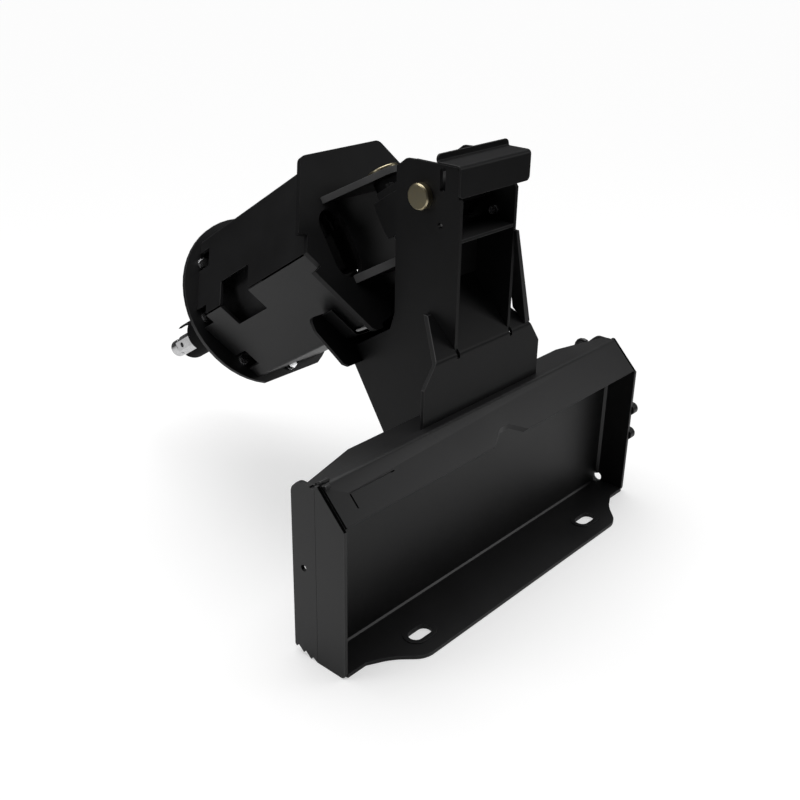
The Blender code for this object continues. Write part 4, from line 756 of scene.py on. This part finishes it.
def swell_loop(plate):
    """Thicken the hose loop's wire."""
    pick(plate)
    bpy.ops.object.mode_set(mode="EDIT")
    choose(plate, lambda point: point.co.y > LOOP_START, "VERT")
    bpy.ops.transform.shrink_fatten(value=LOOP_SWELL)
    bpy.ops.object.mode_set(mode="OBJECT")


def on_slant(face):
    """Whether a face of a wing lies on its slanted edge."""
    return face.normal.dot(Vector((0.0, -1.0, 1.0)).normalized()) > 0.97


class AUGER_OT_tray(bpy.types.Operator):
    """Shape and coat the tray's plates"""

    bl_idname = "auger.tray"
    bl_label = "Coat the tray"

    def execute(self, context):
        for node in TRAY_PLATES:
            plate = skin_of(node)
            side = -1 if node.endswith("left") else 1
            if node.startswith("step"):
                shape_step_plate(plate, side)
            if node.startswith("wing"):
                shape_wing(plate)
            if node == "top_lip":
                shape_lip(plate)
            if node == "back_plate":
                shape_flange(plate)
            if node == "step_plate_right":
                swell_loop(plate)
            if node in ("back_plate", "wing_right", "step_plate_right"):
                carve(plate, rod(RELIEF_RADIUS, 0.0, RELIEF_LENGTH, in_tray(*RELIEF_HOLE) @ ALONG_X, 24))
            if node.startswith(("wing", "step")):
                faces = sorted((side * (HALF_TRAY - SEAM_DEPTH), side * (HALF_TRAY + STOCK)))
                carve(plate, block((faces[0], *SEAM[0]), (faces[1], *SEAM[1]), TRAY))
            # The wings' slanted edges get the near-black coat: painted shade
            coat(plate, node, shade_test=on_slant if node.startswith("wing") else None)
        return {"FINISHED"}


class AUGER_OT_tray_details(bpy.types.Operator):
    """Add the slot rings, the corner and floor welds and the lip's lugs"""

    bl_idname = "auger.tray_details"
    bl_label = "Add the tray's details"

    @staticmethod
    def add_lugs():
        """Two small lugs over the lip's left end."""
        for index, (start, end, reach, height) in enumerate(LUGS):
            lug = rod(LUG_RADIUS, start, end, in_tray(0, reach, height) @ ALONG_X, 20)
            add_piece(lug, "lip_lug_left_%d" % (index + 1), "mount", "paint", LUG_ROUND)

    def execute(self, context):
        for hand, word in ((-1, "left"), (1, "right")):
            place = in_tray(hand * FLANGE_SLOT_PLACE[0], FLANGE_SLOT_PLACE[1], STOCK - RING_SINK)
            ring = ring_plate(*FLANGE_SLOT, SLOT_BAND, SLOT_RING, place)
            add_piece(ring, "slot_ring_" + word, "mount", "paint", WELD_ROUND)
            inner = hand * (HALF_TRAY - STOCK)
            bead = [(inner - hand * x, y) for x, y in CORNER_BEAD]
            weld = prism(bead, CORNER_BEAD_LENGTH, in_tray(z=CORNER_BEAD_START))
            # The weld bead takes the lighter edge coat: a painted highlight
            add_piece(weld, "corner_weld_" + word, "mount", "edge", WELD_ROUND)
            if word == "left":
                self.add_lugs()
        weld = prism(FLOOR_BEAD, FLOOR_BEAD_LENGTH, in_tray(FLOOR_BEAD_START) @ SIDEWAYS)
        # The floor weld takes the lighter edge coat: a painted highlight
        add_piece(weld, "floor_weld", "mount", "edge", WELD_ROUND)
        return {"FINISHED"}


class AUGER_OT_mast(bpy.types.Operator):
    """Shape and coat the mast, the apron and the cradle"""

    bl_idname = "auger.mast"
    bl_label = "Coat the mast"

    def execute(self, context):
        for node in MAST_PLATES:
            plate = skin_of(node)
            if node.startswith("mast_plate"):
                start = MAST_INSIDE if node.endswith("right") else -MAST_INSIDE - MAST_STOCK
                carve(plate, prism(NOSE, MAST_STOCK, in_tray(start) @ SIDEWAYS), "UNION")
                outline = [(y, z) for z, y in slot_outline(*MAST_SLOT, MAST_SLOT_PLACE)]
                carve(plate, prism(outline, 3 * MAST_STOCK, in_tray(start - MAST_STOCK) @ SIDEWAYS))
            if node == "mast_cap":
                for x, radius in CAP_CORNERS:
                    round_corners(plate, 1, [(x, z) for z in CAP_EDGES], radius)
            if node == "mast_shelf":
                move_points(plate, lambda point: point.co.y > SHELF_BEND, SHELF_REACH)
                move_points(plate, lambda point: point.co.z < SHELF_FOOT, SHELF_LIFT)
            if node == "apron":
                move_points(plate, lambda point: point.co.z > APRON_TOP, APRON_LIFT)
            coat(plate, node, "dull_paint", "dull_edge")
        brace = prism(BRACE, BRACE_STOCK, in_tray(0, BRACE_DEPTH) @ UPRIGHT)
        carve(brace, prism(UNDER_SLOPE, 2 * UNDER_SLOPE_HALF, in_tray(-UNDER_SLOPE_HALF) @ SIDEWAYS))
        add_piece(brace, "mast_brace", "mount", "paint")
        return {"FINISHED"}


class AUGER_OT_knuckle(bpy.types.Operator):
    """Coat the knuckle's plates"""

    bl_idname = "auger.knuckle"
    bl_label = "Coat the knuckle"

    def execute(self, context):
        for node in KNUCKLE_PLATES:
            coat(skin_of(node), node, "dull_paint", "edge")
        return {"FINISHED"}


class AUGER_OT_body(bpy.types.Operator):
    """Shape and coat the drive's ears, face plate, shells and disc"""

    bl_idname = "auger.body"
    bl_label = "Coat the drive body"

    @staticmethod
    def in_joint(face):
        """Whether a face lies in the joint of the shells or round the face plate's notch."""
        place = DRIVE.inverted() @ face.center
        across = abs(place.z)
        if abs(place.x) < JOINT_INSIDE or place.y > BODY_END:
            return False
        in_notch = NOTCH_WALLS[0] < across < NOTCH_WALLS[1] and place.y < NOTCH_END + CLEAR
        return in_notch or (across < JOINT_HALF + CLEAR and abs(face.normal.dot(ACROSS)) > 0.7)

    @staticmethod
    def open_joint(plate):
        """Cut a shell's joint and its notches at the face plate, on both sides."""
        start = FACE_START - CLEAR
        for hand in (1, -1):
            ends = sorted((hand * JOINT_INSIDE, hand * JOINT_OUTSIDE))
            for low in NOTCH_LINES:
                carve(plate, block((ends[0], start, low), (ends[1], NOTCH_END, low + NOTCH_WIDTH), DRIVE))
            carve(plate, block((ends[0], start, -JOINT_HALF), (ends[1], BODY_END, JOINT_HALF), DRIVE))

    def execute(self, context):
        for node in BODY_PLATES:
            plate = skin_of(node)
            if node == "face_plate":
                for hand in (1, -1):
                    slot = slot_outline(*HOSE_SLOT, (0.0, 0.0), 12)
                    outline = [(hand * HOSE_SLOT_SIDE + y, x) for x, y in slot]
                    carve(plate, prism(outline, HOSE_SLOT_LENGTH, in_drive(0, HOSE_SLOT_DEPTH) @ UPRIGHT))
            if node.startswith("shell"):
                self.open_joint(plate)
            # The ears' edges take the lighter cut-edge coat, a painted highlight
            edge = "cut_edge_highlight" if node.startswith("ear") else "edge"
            # Faces in the shells' joint and round the notch get the near-black coat: painted shade
            coat(plate, node, "dull_paint" if node == "face_plate" else "paint", edge, self.in_joint)
            if node.startswith("ear"):
                for face in plate.data.polygons:
                    if abs(face.normal.dot(ACROSS)) < 0.5:
                        face.material_index = EDGE_SLOT
        return {"FINISHED"}


class AUGER_OT_guard(bpy.types.Operator):
    """Make the output guard with its window at the side"""

    bl_idname = "auger.guard"
    bl_label = "Make the output guard"

    def execute(self, context):
        guard = rod(GUARD_RADIUS, *GUARD_ENDS, Matrix(), 64)
        carve(guard, rod(GUARD_BORE, BEFORE_GUARD, PAST_GUARD, Matrix(), 64))
        settle(guard, DRIVE @ DOWN_DRIVE)
        low = (WINDOW_SIDES[0], WINDOW_START, -WINDOW_HALF)
        high = (WINDOW_SIDES[1], PAST_GUARD, WINDOW_HALF)
        window = block(low, high, DRIVE @ Matrix.Rotation(WINDOW_TILT, 4, "Y"))
        carve(guard, window)
        # The guard takes the darker flat coat: painted shade
        coat(guard, "output_guard", "shade_darkened_paint", "dull_edge")
        return {"FINISHED"}


class AUGER_OT_castings(bpy.types.Operator):
    """Finish the tubes, the housing and the castings"""

    bl_idname = "auger.castings"
    bl_label = "Finish tubes and castings"

    def execute(self, context):
        width = context.scene.auger_finish.edge_round
        for node in ROUND_PAINTED:
            # The swivel tube takes the darker flat coat: painted shade
            paint = "shade_darkened_paint" if node == "knuckle_swivel_tube" else "dull_paint"
            dress(node, "_coated", (paint, "edge"), width, PAINTED_LIMIT, EDGE_SLOT)
        for node in CAST:
            dress(node, "_coated", ("cast", "cast"), width, PAINTED_LIMIT, EDGE_SLOT)
        return {"FINISHED"}


class AUGER_OT_hidden_steel(bpy.types.Operator):
    """Give the sealed gears, bearings, seal and rings their finishes"""

    bl_idname = "auger.hidden_steel"
    bl_label = "Finish gears and rings"

    def execute(self, context):
        for node in GEARS + RINGS + ("shaft_seal",):
            look = "rubber" if node == "shaft_seal" else "silver" if node in RINGS else "gear"
            wear(frame["nodes"][node], look)
        return {"FINISHED"}


class AUGER_OT_pins(bpy.types.Operator):
    """Plate the main pin and the swivel pin"""

    bl_idname = "auger.pins"
    bl_label = "Plate the pins"

    def execute(self, context):
        for node in ("main_pin", "swivel_pin"):
            dress(node, "_plated", ("gold",), SMALL_ROUND)
        return {"FINISHED"}


class AUGER_OT_shaft(bpy.types.Operator):
    """Finish the output shaft and its nut"""

    bl_idname = "auger.shaft"
    bl_label = "Finish the output shaft"

    def execute(self, context):
        dress("output_shaft", "_finished", ("steel",), SHAFT_ROUND)
        dress("lock_nut", "_finished", ("silver",), SHAFT_ROUND)
        return {"FINISHED"}


class AUGER_OT_bolts(bpy.types.Operator):
    """Finish the hex bolts"""

    bl_idname = "auger.bolts"
    bl_label = "Finish the bolts"

    def execute(self, context):
        flange_bolts = ["flange_bolt_%d" % (index + 1) for index in range(BOLTS)]
        for node in flange_bolts + ["lock_bolt"]:
            dress(node, "_finished", ("silver",), SMALL_ROUND)
        for node in ("wing_bolt_upper", "wing_bolt_lower"):
            dress(node, "_finished", ("paint",), SMALL_ROUND)
        for word, height in COLLAR_HEIGHTS:
            place = in_tray(HALF_TRAY, COLLAR_DEPTH, height) @ ALONG_X
            collar = rod(COLLAR_RADIUS, 0.0, COLLAR_LENGTH, place)
            carve(collar, rod(COLLAR_BORE, -0.01, 0.03, place))
            add_piece(collar, "wing_bolt_collar_" + word, "mount", "paint")
        return {"FINISHED"}


def falloff(made, place, inner, outer, low):
    """A share that falls from one to a low value between two distances from the origin."""
    nodes = made.node_tree.nodes
    length = nodes.new("ShaderNodeVectorMath")
    length.operation = "LENGTH"
    link(made, place.outputs["Object"], length.inputs[0])
    remap = nodes.new("ShaderNodeMapRange")
    remap.interpolation_type = "SMOOTHSTEP"
    remap.inputs["From Min"].default_value = inner
    remap.inputs["From Max"].default_value = outer
    remap.inputs["To Min"].default_value = 1.0
    remap.inputs["To Max"].default_value = low
    link(made, length.outputs["Value"], remap.inputs["Value"])
    return remap.outputs["Result"]


def floor_finish(sizes):
    """White seamless floor that glows for the camera. In reflections its colour fades from pale to black
    away from the part: a painted pool of light.
    """
    made = bpy.data.materials.new("white studio floor")
    made.use_nodes = True
    nodes = made.node_tree.nodes
    nodes.clear()
    output = nodes.new("ShaderNodeOutputMaterial")
    place = nodes.new("ShaderNodeTexCoord")
    rays = nodes.new("ShaderNodeLightPath")
    paper = nodes.new("ShaderNodeBsdfDiffuse")
    paper.inputs["Color"].default_value = (sizes.white, sizes.white, sizes.white, 1.0)
    glow = nodes.new("ShaderNodeEmission")
    glow.inputs["Strength"].default_value = sizes.glow
    seen = nodes.new("ShaderNodeAddShader")
    link(made, paper.outputs["BSDF"], seen.inputs[0])
    link(made, glow.outputs["Emission"], seen.inputs[1])
    hidden = nodes.new("ShaderNodeBsdfDiffuse")
    # Pale near the part and black far off: a painted pool of light on the floor
    share = falloff(made, place, sizes.pool_inner, sizes.pool_outer, 0.02)
    link(made, mixed(made, share, (0.0, 0.0, 0.0), (0.76, 0.76, 0.76)), hidden.inputs["Color"])
    mix = nodes.new("ShaderNodeMixShader")
    link(made, rays.outputs["Is Camera Ray"], mix.inputs["Fac"])
    link(made, hidden.outputs["BSDF"], mix.inputs[1])
    link(made, seen.outputs["Shader"], mix.inputs[2])
    link(made, mix.outputs["Shader"], output.inputs["Surface"])
    return made


def studio_world(sizes):
    """White behind the part, and almost no light from the rest of the room."""
    world = bpy.data.worlds.new("studio")
    bpy.context.scene.world = world
    world.use_nodes = True
    nodes = world.node_tree.nodes
    nodes.clear()
    output = nodes.new("ShaderNodeOutputWorld")
    rays = nodes.new("ShaderNodeLightPath")
    mix = nodes.new("ShaderNodeMixShader")
    links = world.node_tree.links
    for slot_index, strength in ((1, sizes.sky), (2, 1.1)):
        light = nodes.new("ShaderNodeBackground")
        light.inputs["Color"].default_value = (1.0, 1.0, 1.0, 1.0)
        light.inputs["Strength"].default_value = strength
        links.new(light.outputs["Background"], mix.inputs[slot_index])
    links.new(rays.outputs["Is Camera Ray"], mix.inputs["Fac"])
    links.new(mix.outputs["Shader"], output.inputs["Surface"])


def softbox(name, place, target, size, power):
    """A square studio lamp that looks at a point."""
    lamp = bpy.data.lights.new(name, "AREA")
    lamp.energy = power
    lamp.shape = "RECTANGLE"
    lamp.size = size[0]
    lamp.size_y = size[1]
    holder = bpy.data.objects.new(name, lamp)
    holder.location = place
    aim = Vector(target) - Vector(place)
    holder.rotation_euler = aim.to_track_quat("-Z", "Y").to_euler()
    bpy.context.scene.collection.objects.link(holder)


class AUGER_OT_stage(bpy.types.Operator):
    """Set up the floor, the light and the camera"""

    bl_idname = "auger.stage"
    bl_label = "Set up the studio"

    def execute(self, context):
        sizes = context.scene.auger_stage
        clear_selection()
        bpy.ops.mesh.primitive_plane_add(size=sizes.floor_size, location=(0.0, 0.0, sizes.floor_drop))
        floor = context.view_layer.objects.active
        floor.name = "studio_floor"
        floor.data.materials.append(floor_finish(sizes))
        studio_world(sizes)

        sun = bpy.data.lights.new("overhead light", "SUN")
        sun.energy = sizes.overhead
        sun.angle = SUN_WIDTH
        holder = bpy.data.objects.new("overhead_light", sun)
        holder.rotation_euler = SUN_TURN
        context.scene.collection.objects.link(holder)
        softbox("front_softbox", *FRONT_SOFTBOX, sizes.front)
        softbox("left_softbox", *LEFT_SOFTBOX, sizes.side)

        view = bpy.data.cameras.new("camera")
        view.lens = CAMERA_LENS
        view.sensor_width = 36.0
        view.clip_start = 0.05
        view.clip_end = 100.0
        camera = bpy.data.objects.new("camera", view)
        back = CAMERA_RIGHT.cross(CAMERA_UP)
        turn = Matrix((CAMERA_RIGHT, CAMERA_UP, back)).transposed()
        camera.matrix_world = Matrix.Translation(CAMERA_PLACE) @ turn.to_4x4()
        context.scene.collection.objects.link(camera)
        context.scene.camera = camera
        context.scene.view_settings.view_transform = "Standard"
        return {"FINISHED"}


STEPS = (
    AUGER_OT_finishes, AUGER_OT_tray, AUGER_OT_mast, AUGER_OT_knuckle, AUGER_OT_body, AUGER_OT_guard,
    AUGER_OT_tray_details, AUGER_OT_castings, AUGER_OT_hidden_steel, AUGER_OT_pins, AUGER_OT_shaft,
    AUGER_OT_bolts, AUGER_OT_stage,
)


class AUGER_PT_panel(bpy.types.Panel):
    """Lists the steps and their sizes"""

    bl_idname = "AUGER_PT_panel"
    bl_label = "Earth auger drive"
    bl_space_type = "VIEW_3D"
    bl_region_type = "UI"
    bl_category = "Auger"

    def draw(self, context):
        layout = self.layout
        for group in (context.scene.auger_finish, context.scene.auger_stage):
            box = layout.box()
            for name in group.__annotations__:
                box.prop(group, name)
        for step in STEPS:
            layout.operator(step.bl_idname)


CLASSES = (AugerFinish, AugerStage, *STEPS, AUGER_PT_panel)


def register():
    """Register the add-on."""
    for part in CLASSES:
        bpy.utils.register_class(part)
    bpy.types.Scene.auger_finish = bpy.props.PointerProperty(type=AugerFinish)
    bpy.types.Scene.auger_stage = bpy.props.PointerProperty(type=AugerStage)


def unregister():
    """Remove the add-on."""
    del bpy.types.Scene.auger_stage
    del bpy.types.Scene.auger_finish
    for part in reversed(CLASSES):
        bpy.utils.unregister_class(part)


def main():
    """Build every piece in order."""
    register()
    bpy.ops.auger.finishes()
    bpy.ops.auger.tray()
    bpy.ops.auger.mast()
    bpy.ops.auger.knuckle()
    bpy.ops.auger.body()
    bpy.ops.auger.guard()
    bpy.ops.auger.tray_details()
    bpy.ops.auger.castings()
    bpy.ops.auger.hidden_steel()
    bpy.ops.auger.pins()
    bpy.ops.auger.shaft()
    bpy.ops.auger.bolts()
    bpy.ops.auger.stage()


if __name__ == "__main__":
    main()
